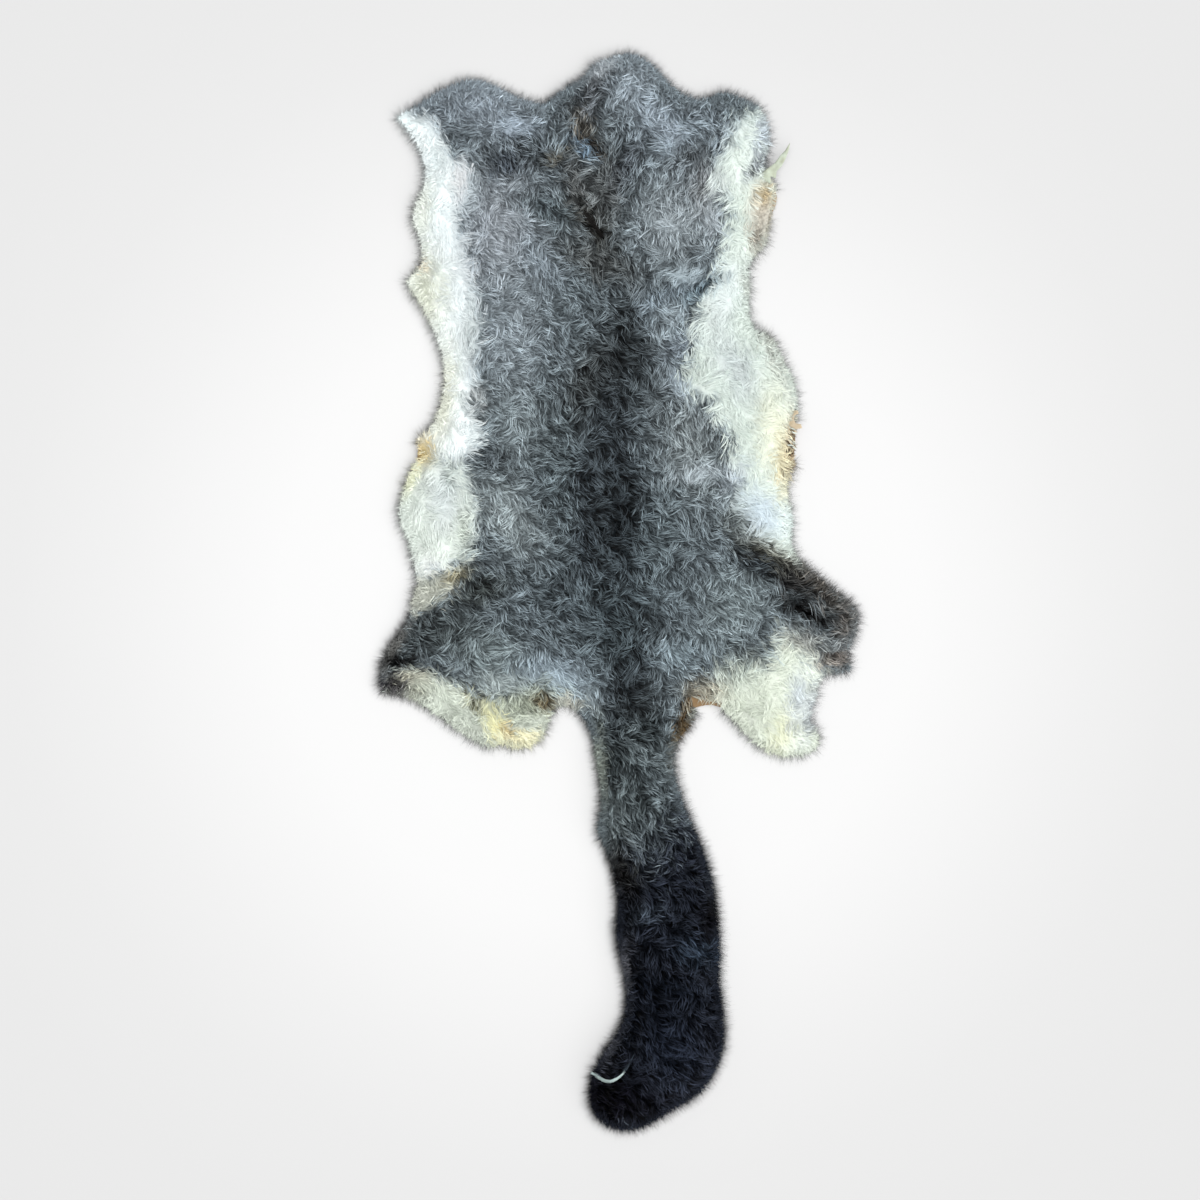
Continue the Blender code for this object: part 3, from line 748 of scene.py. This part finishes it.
def closed_slab(name, ring, pitch, bottom, top, paint, fine=None):
    """A closed piece inside the ring, between the heights that bottom(x, y) and top(x, y) give.

    fine is a smaller pitch for the bare stretches, and paint(x, y) gives the linear colours.
    """
    low, high = ring.min(axis=0), ring.max(axis=0)
    x, y = triangle_points(low, high, pitch)
    if fine:
        close_x, close_y = triangle_points(low, high, fine)
        bare = bareness(close_x, close_y) > 0.01
        apart = bareness(x, y) <= 0.01
        x, y = np.append(x[apart], close_x[bare]), np.append(y[apart], close_y[bare])
    room = (fine or pitch) * SLAB_ROOM
    keep = is_inside(x, y, ring) & (line_distances(x, y, ring) > room)
    flat = [Vector(p) for p in ring] + [Vector(p) for p in zip(x[keep], y[keep])]
    points, _, faces, *_ = delaunay_2d_cdt(flat, [], [list(range(len(ring)))], 1, 1e-4)
    places = np.array([tuple(p) for p in points])
    count = len(places)
    upper = np.column_stack([places, top(*places.T)])
    lower = np.column_stack([places, bottom(*places.T)])
    tops = np.array([tuple(f) for f in faces])
    sides = set()
    for face in tops:
        for a, b in zip(face, np.roll(face, -1)):
            sides.symmetric_difference_update({(min(a, b), max(a, b))})
    walls = np.array([(a + count, b + count, b, a) for a, b in sorted(sides)])
    shades = paint(*places.T)
    colours = np.vstack([shades, shades * SLAB_SHADE])
    obj = mesh_object(name, np.vstack([upper, lower]), [tops, tops[:, ::-1] + count, walls], colours)
    bm = bmesh.new()
    bm.from_mesh(obj.data)
    bmesh.ops.recalc_face_normals(bm, faces=bm.faces[:])
    bm.to_mesh(obj.data)
    bm.free()
    return obj


def inset_ring(ring, depth, inset):
    """The ring drawn in by a distance at each of its points."""
    out = outward(depth, *ring.T)
    return ring - directions(out) * np.reshape(inset, (-1, 1))


def make_leather(ring, depth):
    """The hide: flat under the fur, thicker and wrinkled where it is bare."""
    bare = bareness(*ring.T)

    def underside(x, y):
        return np.zeros(x.size)

    def top(x, y):
        wrinkles = 0.5 * coherent(x, y, 5, 12) + 0.3 * coherent(x, y, 2.2, 13)
        return LEATHER + bareness(x, y) * (BARE_RISE + wrinkles)

    edge = inset_ring(ring, depth, LEATHER_INSET * (1 - bare))
    return closed_slab("hide", edge, LEATHER_PITCH, underside, top, hide_colour, BARE_PITCH)


def paleness(colour):
    """0 in dark fur, 1 in pale fur and a smooth step between them, from the linear colours."""
    return smooth_step(0.3, 0.7, colour.mean(axis=1))


def underfur_below(pale):
    return UNDERFUR_BELOW[0] + (UNDERFUR_BELOW[1] - UNDERFUR_BELOW[0]) * pale


def make_underfur(ring, depth, top):
    def underside(x, y):
        return np.full(x.size, LEATHER - UNDERFUR_OVERLAP)

    def upper(x, y):
        pale = paleness(hair_colour(x, y, raggedness(x, y)))
        rough = (1 - 0.5 * pale) * coherent(x, y, 9, 8)
        height = np.maximum(top.at(x, y) - underfur_below(pale), UNDERFUR_RIM) + rough
        return height + (LEATHER + 0.1 - height) * bareness(x, y)

    def paint(x, y):
        colour = hair_colour(x, y, raggedness(x, y))
        # Darker than the hair over it in dark fur: the underfur's own darker colour, and painted shade deep
        # in the fur
        return colour * np.clip(0.2 + colour.mean(axis=1) * 0.95, 0, 1)[:, None]

    edge = inset_ring(ring, depth, UNDERFUR_INSET + UNDERFUR_BARE_INSET * bareness(*ring.T))
    return closed_slab("underfur", edge, UNDERFUR_PITCH, underside, upper, paint, BARE_PITCH)


def make_flap(name, flap):
    """A thin flap that rises from its root to its tip."""
    outline = path_in_mm(flap.outline)
    root, tip = path_in_mm((flap.root, flap.tip))
    way = tip - root
    ways = np.roll(outline, -1, axis=0) - outline
    ring = np.concatenate([outline[:, None], outline[:, None] + ways[:, None] / 2], axis=1).reshape(-1, 2)

    def bottom(x, y):
        share = np.clip(((x - root[0]) * way[0] + (y - root[1]) * way[1]) / (way @ way), 0, 1.1)
        bow = 0.35 * coherent(x, y, 3, 14)
        return np.maximum(flap.low + (flap.high - flap.low) * share**FLAP_CURVE + bow, LEATHER)

    def paint(x, y):
        spots = 1 + 0.14 * coherent(x, y, 2.5, 15)
        return linear(repeated(flap.colour, x.size)) * spots[:, None]

    return closed_slab(name, ring, FLAP_PITCH, bottom, lambda x, y: bottom(x, y) + FLAP_THICKNESS, paint)


# The hair


def comb_angles(x, y):
    """The way the hair lies at each place, from the combs near it."""
    px, py = mm_to_pixels(x, y)
    across, up = np.zeros(px.size), np.zeros(px.size)
    for comb in COMBS:
        weight = np.exp(-((px - comb.x) ** 2 + (py - comb.y) ** 2) / COMB_SPREAD**2) + 1e-9
        across += weight * math.cos(math.radians(comb.angle))
        up += weight * math.sin(math.radians(comb.angle))
    return np.arctan2(up, across)


def turned_towards(angle, target, share):
    """Angles turned by that share of the way to the target angles."""
    gap = (target - angle + math.pi) % (2 * math.pi) - math.pi
    return angle + gap * share


Tufts = namedtuple("Tufts", "places turn bend shade lift tree")


def make_tufts(ring, chance):
    x, y = triangle_points(ring.min(axis=0) - TUFT_PITCH, ring.max(axis=0) + TUFT_PITCH, TUFT_PITCH)
    places = np.column_stack([x, y]) + chance.uniform(-0.5, 0.5, (x.size, 2)) * TUFT_PITCH
    tree = KDTree(x.size)
    for i, place in enumerate(places):
        tree.insert((*place, 0), i)
    tree.balance()
    turn, bend, shade, lift = chance.normal(0, 1, (4, x.size))
    return Tufts(places, turn * TUFT_TURN, bend, shade, lift, tree)


def nearest_tufts(tufts, x, y):
    """The number of the tuft that each place belongs to."""
    wander = 1.5 * coherent(x, y, 5, 9)
    return np.array([tufts.tree.find((a, b, 0))[1] for a, b in zip(x + wander, y - wander)])


def clumps(layer, ring, depth, tufts, chance):
    """A layer's clumps: their roots, the way they lie, their length and bend, and their shade."""
    x, y = triangle_points(ring.min(axis=0), ring.max(axis=0), layer.pitch)
    x = x + chance.uniform(-0.45, 0.45, x.size) * layer.pitch
    y = y + chance.uniform(-0.45, 0.45, y.size) * layer.pitch
    inward = depth.at(x, y)
    keep = (inward > 0.3) & (bareness(x, y) < chance.uniform(0.15, 0.85, x.size))
    x, y, inward = x[keep], y[keep], inward[keep]
    tuft = nearest_tufts(tufts, x, y)
    angle = comb_angles(x, y) + tufts.turn[tuft] + 0.3 * coherent(x, y, 14, 1)
    dx, dy = (np.column_stack([x, y]) - tufts.places[tuft]).T
    aside = dy * np.cos(angle) - dx * np.sin(angle)
    angle += chance.normal(0, 0.09, x.size) - aside / TUFT_FOCUS
    out = outward(depth, x, y) + chance.normal(0, 0.3, x.size)
    against = np.cos(angle - out) < 0.2
    at_rim = chance.uniform(0, 1, x.size) > smooth_step(0, RIM_BLEND, inward) * 1.1
    angle = np.where(at_rim, out, angle)
    length = layer.length * chance.uniform(0.8, 1.15, x.size)
    length *= np.where(against & (inward < RIM_BLEND), 0.7, 1)
    bend = layer.bend * (0.9 * tufts.bend[tuft] + chance.normal(0, 0.35, x.size))
    # Painted shade between tufts: darker towards a tuft's border, paler in its middle
    border = np.clip(np.hypot(dx, dy) / (TUFT_PITCH * 0.6), 0, 1) ** 2
    shade = 1 + TUFT_SHADES * tufts.shade[tuft] + WIDE_SHADES * coherent(x, y, WIDE_SPAN, 6)
    shade = shade + chance.normal(0, CLUMP_SHADES, x.size)
    shade += TUFT_BORDER_SHADE * (0.4 - border)
    is_guard = chance.uniform(0, 1, x.size) < layer.dark
    shade = np.where(is_guard, DARK_GUARD, np.maximum(shade, LEAST_SHADE))
    lift = chance.uniform(layer.low, layer.high, x.size) + 0.05 * tufts.lift[tuft]
    return x, y, angle, length, bend, shade, np.minimum(lift, layer.high + 0.03)


def blade_mesh(centres, sides, colours):
    """Ribbons that end in a point, from the middles of their levels.

    Gives their points, quads, triangles and colours, and the edge of its ribbon that each point is on: 1 or
    -1, and 0 at its tip.
    """
    total, levels = centres.shape[:2]
    corners = 2 * levels - 1
    points = np.zeros((total, corners, 3))
    shades = np.zeros((total, corners, 3))
    points[:, 0:-1:2] = centres[:, :-1] + sides
    points[:, 1:-1:2] = centres[:, :-1] - sides
    points[:, -1] = centres[:, -1]
    shades[:, 0:-1:2] = shades[:, 1:-1:2] = colours[:, :-1]
    shades[:, -1] = colours[:, -1]
    edges = np.tile(np.append(np.tile((1.0, -1.0), levels - 1), 0), total)
    first = np.arange(total)[:, None] * corners
    quads = [first[:0] + np.zeros((1, 4), int)]
    quads += [first + np.array([[k, k + 1, k + 3, k + 2]]) for k in range(0, corners - 3, 2)]
    ends = first + np.array([[corners - 3, corners - 2, corners - 1]])
    return points.reshape(-1, 3), np.vstack(quads), ends, shades.reshape(-1, 3), edges


def ribbons(root, way, reach, curl, wave, phase, offset, pull, levels, width, roll, heights):
    """The middles and half widths of ribbons at their levels, whose heights heights(share, middle) gives."""
    ahead = directions(way)
    aside = np.column_stack([-ahead[:, 1], ahead[:, 0]])
    centres, sides = [], []
    for share in levels:
        swing = curl * share**2 * reach + wave * (np.sin(phase + WAVE_TURN * share) - np.sin(phase))
        middle = root - offset * (pull * share) + ahead * (share * reach)[:, None] + aside * swing[:, None]
        centres.append(np.column_stack([middle, np.maximum(heights(share, middle), 0.4)]))
        if share < 1:
            slope = 2 * curl * share + wave * WAVE_TURN * np.cos(phase + WAVE_TURN * share) / reach
            heading = ahead + aside * slope[:, None]
            heading /= np.linalg.norm(heading, axis=1)[:, None]
            half = (width * (1 - 0.75 * share**1.5) / 2)[:, None]
            level = np.cos(roll)
            side = np.column_stack([-heading[:, 1] * level, heading[:, 0] * level, np.sin(roll)])
            sides.append(side * half)
    return np.stack(centres, axis=1), np.stack(sides, axis=1)


def layer_blades(layer, roots, depth, top, chance):
    """The blades of a layer's clumps."""
    x, y, angle, length, bend, shade, lifts = roots
    clump = np.repeat(np.arange(x.size), layer.blades)
    total = clump.size
    spin = chance.uniform(0, 2 * math.pi, total)
    away = np.sqrt(chance.uniform(0, 1, total)) * layer.spread
    offset = directions(spin) * away[:, None]
    way = angle[clump] + chance.normal(0, 0.05, total)
    reach = chance.uniform(0.8, 1.1, total) * length[clump]
    root = np.column_stack([x[clump], y[clump]]) + offset
    inward = np.maximum(depth.at(*root.T), 0)
    tip = root + directions(way) * reach[:, None]
    past = inward - depth.at(*tip.T)
    allowed = inward + layer.past * chance.uniform(0.1, 1, total)
    reach = reach * np.clip(allowed / np.maximum(past, 0.01), 0.2, 1)
    curl = bend[clump] + chance.normal(0, 0.04, total)
    phases = chance.uniform(0, 2 * math.pi, x.size)
    phase = phases[clump] + chance.normal(0, 0.25, total)
    wave = layer.wave * chance.uniform(0.4, 1.3, x.size)[clump] * np.clip(reach / layer.length, 0, 1)
    look = root + directions(way) * (reach * 0.65)[:, None]
    mixed = raggedness(x, y) + chance.normal(0, HAIR_MIX, x.size)
    colour = hair_colour(look[:, 0], look[:, 1], mixed[clump])
    pale = paleness(colour)
    ground = np.maximum(top.at(*root.T) - underfur_below(pale) - ROOT_BELOW, 1.0)
    ground = np.where(depth.at(*root.T) < 0, FLOOR_HAIR, ground)
    lift = lifts[clump] + chance.normal(0, 0.03, total)
    lift += (PALE_LIFT - lift) * PALE_LIFT_PULL * pale
    roll = chance.uniform(-0.9, 0.9, total) * (1 - 0.8 * pale)
    width = layer.width * chance.uniform(0.75, 1.25, total) * (1 + 0.1 * pale)

    def heights(share, middle):
        up = 1 - (1 - share) ** 2.2
        return ground * (1 - up) + top.at(*middle.T) * lift * up

    centres, sides = ribbons(
        root, way, reach, curl, wave, phase, offset, layer.pull, layer.levels, width, roll, heights
    )
    colour = rim_shaded(colour, inward)
    light = shade[clump] * chance.uniform(0.8, 1.2, total)
    return blade_mesh(centres, sides, toned(colour, light, layer.tones))


def rim_shaded(colour, inward):
    """Colours with the pale ones darker near the rim: painted shade where the fur curves down to the floor.
    """
    pale = smooth_step(0.25, 0.7, colour.mean(axis=1))
    shade = 1 - RIM_SHADE * pale * (1 - smooth_step(-0.5, RIM_SHADE_DEPTH, inward))
    return colour * shade[:, None]


def toned(colour, light, tones):
    """A blade's colours at its levels. Pale hair differs less from its shade to its light."""
    contrast = np.clip(1.2 - colour.mean(axis=1) * 1.6, 0.05, 1.1)
    shades = [1 + (tone * light - 1) * contrast for tone in tones]
    return np.stack([np.clip(colour * shade[:, None], *HAIR_COLOURS) for shade in shades], axis=1)


def rim_roots(ring, pitch, chance):
    """Places along the ring, that pitch apart, where there is fur."""
    ways = np.roll(ring, -1, axis=0) - ring
    reached = np.concatenate([[0], np.cumsum(np.hypot(*ways.T))])
    at = np.arange(0, reached[-1], pitch) + chance.uniform(0, pitch)
    closed = np.vstack([ring, ring[:1]])
    x, y = np.interp(at, reached, closed[:, 0]), np.interp(at, reached, closed[:, 1])
    furred = bareness(x, y) < chance.uniform(0.2, 0.8, x.size)
    return x[furred], y[furred]


# One kind of hair at the rim: its measures, how high its roots lie as shares of the fur's height, the share
# of the fur's colour that it keeps, which in the fringe is darkened into painted shadow on the floor round
# the rim, and how much of it grows in pale fur
RimHair = namedtuple("RimHair", "inset length width low high shade in_pale levels tones")

RIM_HAIR = RimHair(RIM_INSET, RIM_LENGTH, RIM_WIDTH, 0.45, 1.0, 1.0, 1.0, (0, 0.5, 1), (0.5, 0.85, 1.1))
# The fringe's low share of the colour and its dark tones paint the shadow on the floor round the rim
SHADOW_FRINGE_HAIR = RimHair(FRINGE_INSET, FRINGE_LENGTH, FRINGE_WIDTH, 0.05, 0.35, 0.38, 0.55, (0, 1), (0.35, 0.5))


def rim_blades(x, y, depth, top, kind, chance):
    """Short single hairs that stand out all round the rim."""
    colour = hair_colour(x, y, raggedness(x, y))
    grown = chance.uniform(0, 1, x.size) < np.interp(colour.mean(axis=1), (0.1, 0.5), (1, kind.in_pale))
    x, y, colour = x[grown], y[grown], colour[grown]
    total = x.size
    out = outward(depth, x, y)
    inset = kind.inset * chance.uniform(0, 1, total)
    root = np.column_stack([x, y]) - directions(out) * inset[:, None]
    way = turned_towards(out, comb_angles(x, y), 0.18) + chance.normal(0, 0.42, total)
    reach = kind.length[0] + (kind.length[1] - kind.length[0]) * chance.uniform(0, 1, total) ** 1.3
    start = np.minimum(top.at(*root.T), RIM_TOP) * chance.uniform(kind.low, kind.high, total)
    droop = chance.uniform(0.7, 1.05, total)

    def heights(share, middle):
        return start * (1 + (droop - 1) * share**1.5)

    none = np.zeros(total)
    centres, sides = ribbons(
        root, way, reach, chance.normal(0, 0.15, total), none, none, np.zeros((total, 2)), 0, kind.levels,
        kind.width * chance.uniform(0.6, 1.3, total), chance.uniform(-0.9, 0.9, total), heights,
    )
    # Painted shade at the rim for pale hair, and for the fringe a darker painted shadow on the floor
    colour = rim_shaded(colour, none) * kind.shade
    return blade_mesh(centres, sides, toned(colour, chance.uniform(0.6, 1.2, total), kind.tones))


LOCK_LEVELS = (0, 0.25, 0.5, 0.75, 1)


def lock_blades(lock, top, chance):
    """The blades of a lock that runs along its path."""
    path = path_in_mm(lock.path)
    reached = np.concatenate([[0], np.cumsum(np.hypot(*np.diff(path, axis=0).T))])
    start = chance.uniform(0, 0.65, lock.hairs) * reached[-1]
    reach = chance.uniform(0.3, 0.5, lock.hairs) * reached[-1]
    offset = chance.normal(0, lock.spread / 3, lock.hairs)
    lift = chance.uniform(0.9, 1.02, lock.hairs)

    def along(at):
        at = np.clip(at, 0, reached[-1])
        return np.column_stack([np.interp(at, reached, path[:, 0]), np.interp(at, reached, path[:, 1])])

    centres, sides = [], []
    for share in LOCK_LEVELS:
        at = np.minimum(start + share * reach, reached[-1])
        way = along(at + 1) - along(at - 1)
        way /= np.linalg.norm(way, axis=1)[:, None]
        aside = np.column_stack([-way[:, 1], way[:, 0]])
        middle = along(at) + aside * (offset * (1 - 0.4 * share))[:, None]
        centres.append(np.column_stack([middle, top.at(*middle.T) * lift + 0.5]))
        if share < 1:
            half = lock.width * (1 - 0.7 * share) / 2
            sides.append(np.column_stack([aside * half, np.zeros(lock.hairs)]))
    light = chance.uniform(0.6, 1.15, lock.hairs)[:, None]
    colour = linear(repeated(lock.colour, lock.hairs)) * light
    colours = np.repeat(colour[:, None], len(LOCK_LEVELS), axis=1)
    return blade_mesh(np.stack(centres, axis=1), np.stack(sides, axis=1), colours)


# The map by colour: the room at its sides and half the width of a ribbon on it
MAP_MARGIN = 0.02
MAP_BLADE = 0.0015


def map_by_colour(obj, colours, edges):
    """A map on which each point lies by its colour, so that hairs of one colour share one place."""
    shown = np.where(colours <= 0.0031308, colours * 12.92, 1.055 * colours ** (1 / 2.4) - 0.055)
    apart = shown - shown.mean(axis=0)
    main_ways = np.linalg.eigh(apart.T @ apart)[1][:, :0:-1]
    places = apart @ main_ways
    low, high = places.min(axis=0), places.max(axis=0)
    places = MAP_MARGIN + (1 - 2 * MAP_MARGIN) * (places - low) / np.maximum(high - low, 1e-6)
    places[:, 1] += MAP_BLADE * edges
    corners = np.empty(len(obj.data.loops), np.int32)
    obj.data.loops.foreach_get("vertex_index", corners)
    layer = obj.data.uv_layers.new(name="OFBake")
    layer.uv.foreach_set("vector", places[corners].astype(np.float32).ravel())


def joined(name, parts):
    """One object from several meshes of ribbons."""
    counts = np.cumsum([0] + [len(part[0]) for part in parts])
    points, colours, edges = (np.concatenate([part[k] for part in parts]) for k in (0, 3, 4))
    faces = [np.vstack([part[k] + count for part, count in zip(parts, counts)]) for k in (1, 2)]
    obj = mesh_object(name, points, faces, colours)
    map_by_colour(obj, colours, edges)
    return obj


# The pieces of fur, by the part of the photograph that their roots lie in
FUR_PIECES = {
    "fur_tail_end": lambda px, py: py > 915,
    "fur_tail_root": lambda px, py: (py > 712) & (px > 575) & (px < 710),
    "fur_left_side": lambda px, py: px < 496,
    "fur_right_side": lambda px, py: px > 706,
    "fur_neck": lambda px, py: py < 200,
    "fur_shoulders": lambda px, py: py < 345,
    "fur_back": lambda px, py: py < 500,
    "fur_rump": lambda px, py: py > 0,
}


def piece_at(x, y):
    """The name of the piece of fur that each root belongs to."""
    px, py = mm_to_pixels(x, y)
    return np.select([test(px, py) for test in FUR_PIECES.values()], list(FUR_PIECES), "")


# Materials


def node_material(name, roughness, specular, sheen=0.0):
    material = bpy.data.materials.new(name)
    material.use_nodes = True
    shader = material.node_tree.nodes["Principled BSDF"]
    shader.inputs["Roughness"].default_value = roughness
    shader.inputs["Specular IOR Level"].default_value = specular
    shader.inputs["Sheen Weight"].default_value = sheen
    return material, shader


def point_colour(material):
    """The colours of the mesh's points, as a node's socket."""
    colour = material.node_tree.nodes.new("ShaderNodeVertexColor")
    colour.layer_name = "hair"
    return colour.outputs["Color"]


def hair_material(name, roughness, specular, sheen):
    material, shader = node_material(name, roughness, specular, sheen)
    material.node_tree.links.new(point_colour(material), shader.inputs["Base Color"])
    return material


def add_node(nodes, kind, **values):
    """A new shader node with these inputs set. An underscore in an input's name stands for a space."""
    node = nodes.new("ShaderNode" + kind)
    for name, value in values.items():
        node.inputs[name.replace("_", " ")].default_value = value
    return node


def add_ramp(nodes, stops):
    """A ramp with a linear colour at each stop."""
    node = add_node(nodes, "ValToRGB")
    ramp = node.color_ramp
    while len(ramp.elements) < len(stops):
        ramp.elements.new(0.5)
    for element, (position, colour) in zip(ramp.elements, stops):
        element.position = position
        element.color = (*colour, 1)
    return node


def multiply_colours(material, shader, first, second):
    """Gives the shader the product of two colours. The node that makes it is returned."""
    links = material.node_tree.links
    mix = add_node(material.node_tree.nodes, "Mix", Factor=1)
    mix.data_type = "RGBA"
    mix.blend_type = "MULTIPLY"
    links.new(first, mix.inputs[6])
    links.new(second, mix.inputs[7])
    links.new(mix.outputs[2], shader.inputs["Base Color"])
    return mix


# The underfur's fine gaps, painted as dark shade deep between the hairs: how many there are in a metre, the
# noise at which they end and the fluff begins and what each does to the colour, and the paleness over which
# they fade to a tenth
SHADED_GAPS = 620
GAP_SHADE_STOPS = ((0.38, (0.3, 0.3, 0.3)), (0.62, (1.6, 1.6, 1.6)))
GAP_SHADE_FADE = (0.1, 0.5)


def underfur_material():
    """Matt fluff with fine dark gaps of painted shade, fainter where it is pale."""
    material, shader = node_material("underfur", 0.9, 0.0)
    nodes, links = material.node_tree.nodes, material.node_tree.links
    place = add_node(nodes, "TexCoord")
    gaps = add_node(nodes, "TexNoise", Scale=SHADED_GAPS, Detail=3)
    ramp = add_ramp(nodes, GAP_SHADE_STOPS)
    faint = add_node(nodes, "MapRange", From_Min=GAP_SHADE_FADE[0], From_Max=GAP_SHADE_FADE[1], To_Min=1.0, To_Max=0.1)
    colour = point_colour(material)
    mix = multiply_colours(material, shader, colour, ramp.outputs["Color"])
    links.new(place.outputs["Object"], gaps.inputs["Vector"])
    links.new(gaps.outputs["Fac"], ramp.inputs["Fac"])
    links.new(colour, faint.inputs["Value"])
    links.new(faint.outputs["Result"], mix.inputs["Factor"])
    return material


# The suede's mottling and grain: how many spots of each there are in a metre, what the mottling does to the
# colour, and how deep the grain is in metres
MOTTLES = 160
MOTTLE_STOPS = ((0.3, (0.76, 0.72, 0.66)), (0.62, (1, 1, 1)))
GRAINS = 900
GRAIN_DEPTH = 0.0006


def leather_material():
    """Matt suede with mottling and a fine grain."""
    material, shader = node_material("suede", 0.85, 0.2)
    nodes, links = material.node_tree.nodes, material.node_tree.links
    place = add_node(nodes, "TexCoord")
    mottle = add_node(nodes, "TexNoise", Scale=MOTTLES, Detail=6)
    ramp = add_ramp(nodes, MOTTLE_STOPS)
    grain = add_node(nodes, "TexNoise", Scale=GRAINS)
    bump = add_node(nodes, "Bump", Strength=0.4, Distance=GRAIN_DEPTH)
    multiply_colours(material, shader, point_colour(material), ramp.outputs["Color"])
    links.new(place.outputs["Object"], mottle.inputs["Vector"])
    links.new(place.outputs["Object"], grain.inputs["Vector"])
    links.new(mottle.outputs["Fac"], ramp.inputs["Fac"])
    links.new(grain.outputs["Fac"], bump.inputs["Height"])
    links.new(bump.outputs["Normal"], shader.inputs["Normal"])
    return material


def floor_material(middle):
    """A pale floor that is a little darker away from the middle: a painted fall-off of the light."""
    material, shader = node_material("floor", 0.9, 0.0)
    nodes, links = material.node_tree.nodes, material.node_tree.links
    place = add_node(nodes, "TexCoord")
    shift = add_node(nodes, "VectorMath")
    shift.operation = "SUBTRACT"
    shift.inputs[1].default_value = middle
    length = add_node(nodes, "VectorMath")
    length.operation = "LENGTH"
    ramp = add_ramp(nodes, [(away, linear((pale,) * 3) / FLOOR_LIGHT) for away, pale in PAINTED_FLOOR_FALLOFF])
    links.new(place.outputs["Object"], shift.inputs[0])
    links.new(shift.outputs["Vector"], length.inputs[0])
    links.new(length.outputs["Value"], ramp.inputs["Fac"])
    links.new(ramp.outputs["Color"], shader.inputs["Base Color"])
    return material


# The stage: half the floor's side and how far it lies below the skin, in metres
FLOOR_HALF = 30
FLOOR_BELOW = 0.0003


def make_camera(middle):
    camera = bpy.data.objects.new("camera", bpy.data.cameras.new("camera"))
    camera.data.sensor_width = SENSOR
    camera.data.lens = SENSOR * CAMERA_HEIGHT / (PHOTO_SIDE * PIXEL * MM)
    camera.data.clip_end = 50
    camera.location = (middle[0], middle[1], CAMERA_HEIGHT)
    bpy.context.scene.collection.objects.link(camera)
    bpy.context.scene.camera = camera


def make_stage(middle):
    bm = bmesh.new()
    bmesh.ops.create_grid(bm, x_segments=8, y_segments=8, size=FLOOR_HALF)
    mesh = bpy.data.meshes.new("floor")
    bm.to_mesh(mesh)
    bm.free()
    floor = bpy.data.objects.new("floor", mesh)
    floor.location = (0, 0, -FLOOR_BELOW)
    mesh.materials.append(floor_material(middle))
    bpy.context.scene.collection.objects.link(floor)
    world = bpy.data.worlds.new("world")
    world.use_nodes = True
    world.node_tree.nodes["Background"].inputs["Color"].default_value = (1, 1, 1, 1)
    world.node_tree.nodes["Background"].inputs["Strength"].default_value = SKY
    bpy.context.scene.world = world
    light = bpy.data.lights.new("soft_sun", "SUN")
    light.energy = SUN * math.pi
    light.angle = math.radians(SUN_WIDTH)
    lamp = bpy.data.objects.new("soft_sun", light)
    lamp.rotation_euler = (math.radians(SUN_TILT[0]), math.radians(SUN_TILT[1]), 0)
    bpy.context.scene.collection.objects.link(lamp)
    bpy.context.scene.view_settings.view_transform = "Standard"


def main():
    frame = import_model()
    node = frame["nodes"]["pelt"]
    middle_x, middle_y = pixels_to_mm(PHOTO_SIDE / 2, PHOTO_SIDE / 2)
    middle = (float(middle_x) * MM, float(middle_y) * MM, 0)
    make_camera(middle)
    make_stage(middle)

    ring = underside_ring(node)
    depth, top = skin_fields(node, ring)
    chance = np.random.default_rng(CHANCE_SEED)

    suede = leather_material()
    leather = make_leather(ring, depth)
    flaps = [make_flap(name, flap) for name, flap in FLAPS.items()]
    for piece in (leather, *flaps):
        piece.data.materials.append(suede)
    underfur = make_underfur(ring, depth, top)
    underfur.data.materials.append(underfur_material())

    grey_hair = hair_material("grey hair", 0.6, 0.1, 0.08)
    black_hair = hair_material("black hair", 0.5, 0.035, 0.0)
    tufts = make_tufts(ring, chance)
    grown = {name: clumps(layer, ring, depth, tufts, chance) for name, layer in LAYERS.items()}
    rim_kinds = ((RIM_HAIR, RIM_PITCH), (SHADOW_FRINGE_HAIR, FRINGE_PITCH))
    rims = [(kind, rim_roots(ring, pitch, chance)) for kind, pitch in rim_kinds]
    lock_pieces = {name: piece_at(*path_in_mm(lock.path[:1]).T)[0] for name, lock in LOCKS.items()}
    fur = []
    for name in FUR_PIECES:
        parts = []
        for layer_name, roots in grown.items():
            here = piece_at(*roots[:2]) == name
            parts.append(layer_blades(LAYERS[layer_name], [v[here] for v in roots], depth, top, chance))
        for kind, (rim_x, rim_y) in rims:
            here = piece_at(rim_x, rim_y) == name
            if here.any():
                parts.append(rim_blades(rim_x[here], rim_y[here], depth, top, kind, chance))
        own_locks = [lock for lock, piece in lock_pieces.items() if piece == name]
        parts += [lock_blades(LOCKS[lock], top, chance) for lock in own_locks]
        piece = joined(name, parts)
        piece.data.materials.append(black_hair if name.startswith("fur_tail") else grey_hair)
        fur.append(piece)

    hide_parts("pelt")
    for piece in (leather, *flaps, underfur, *fur):
        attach(piece, "root")


main()
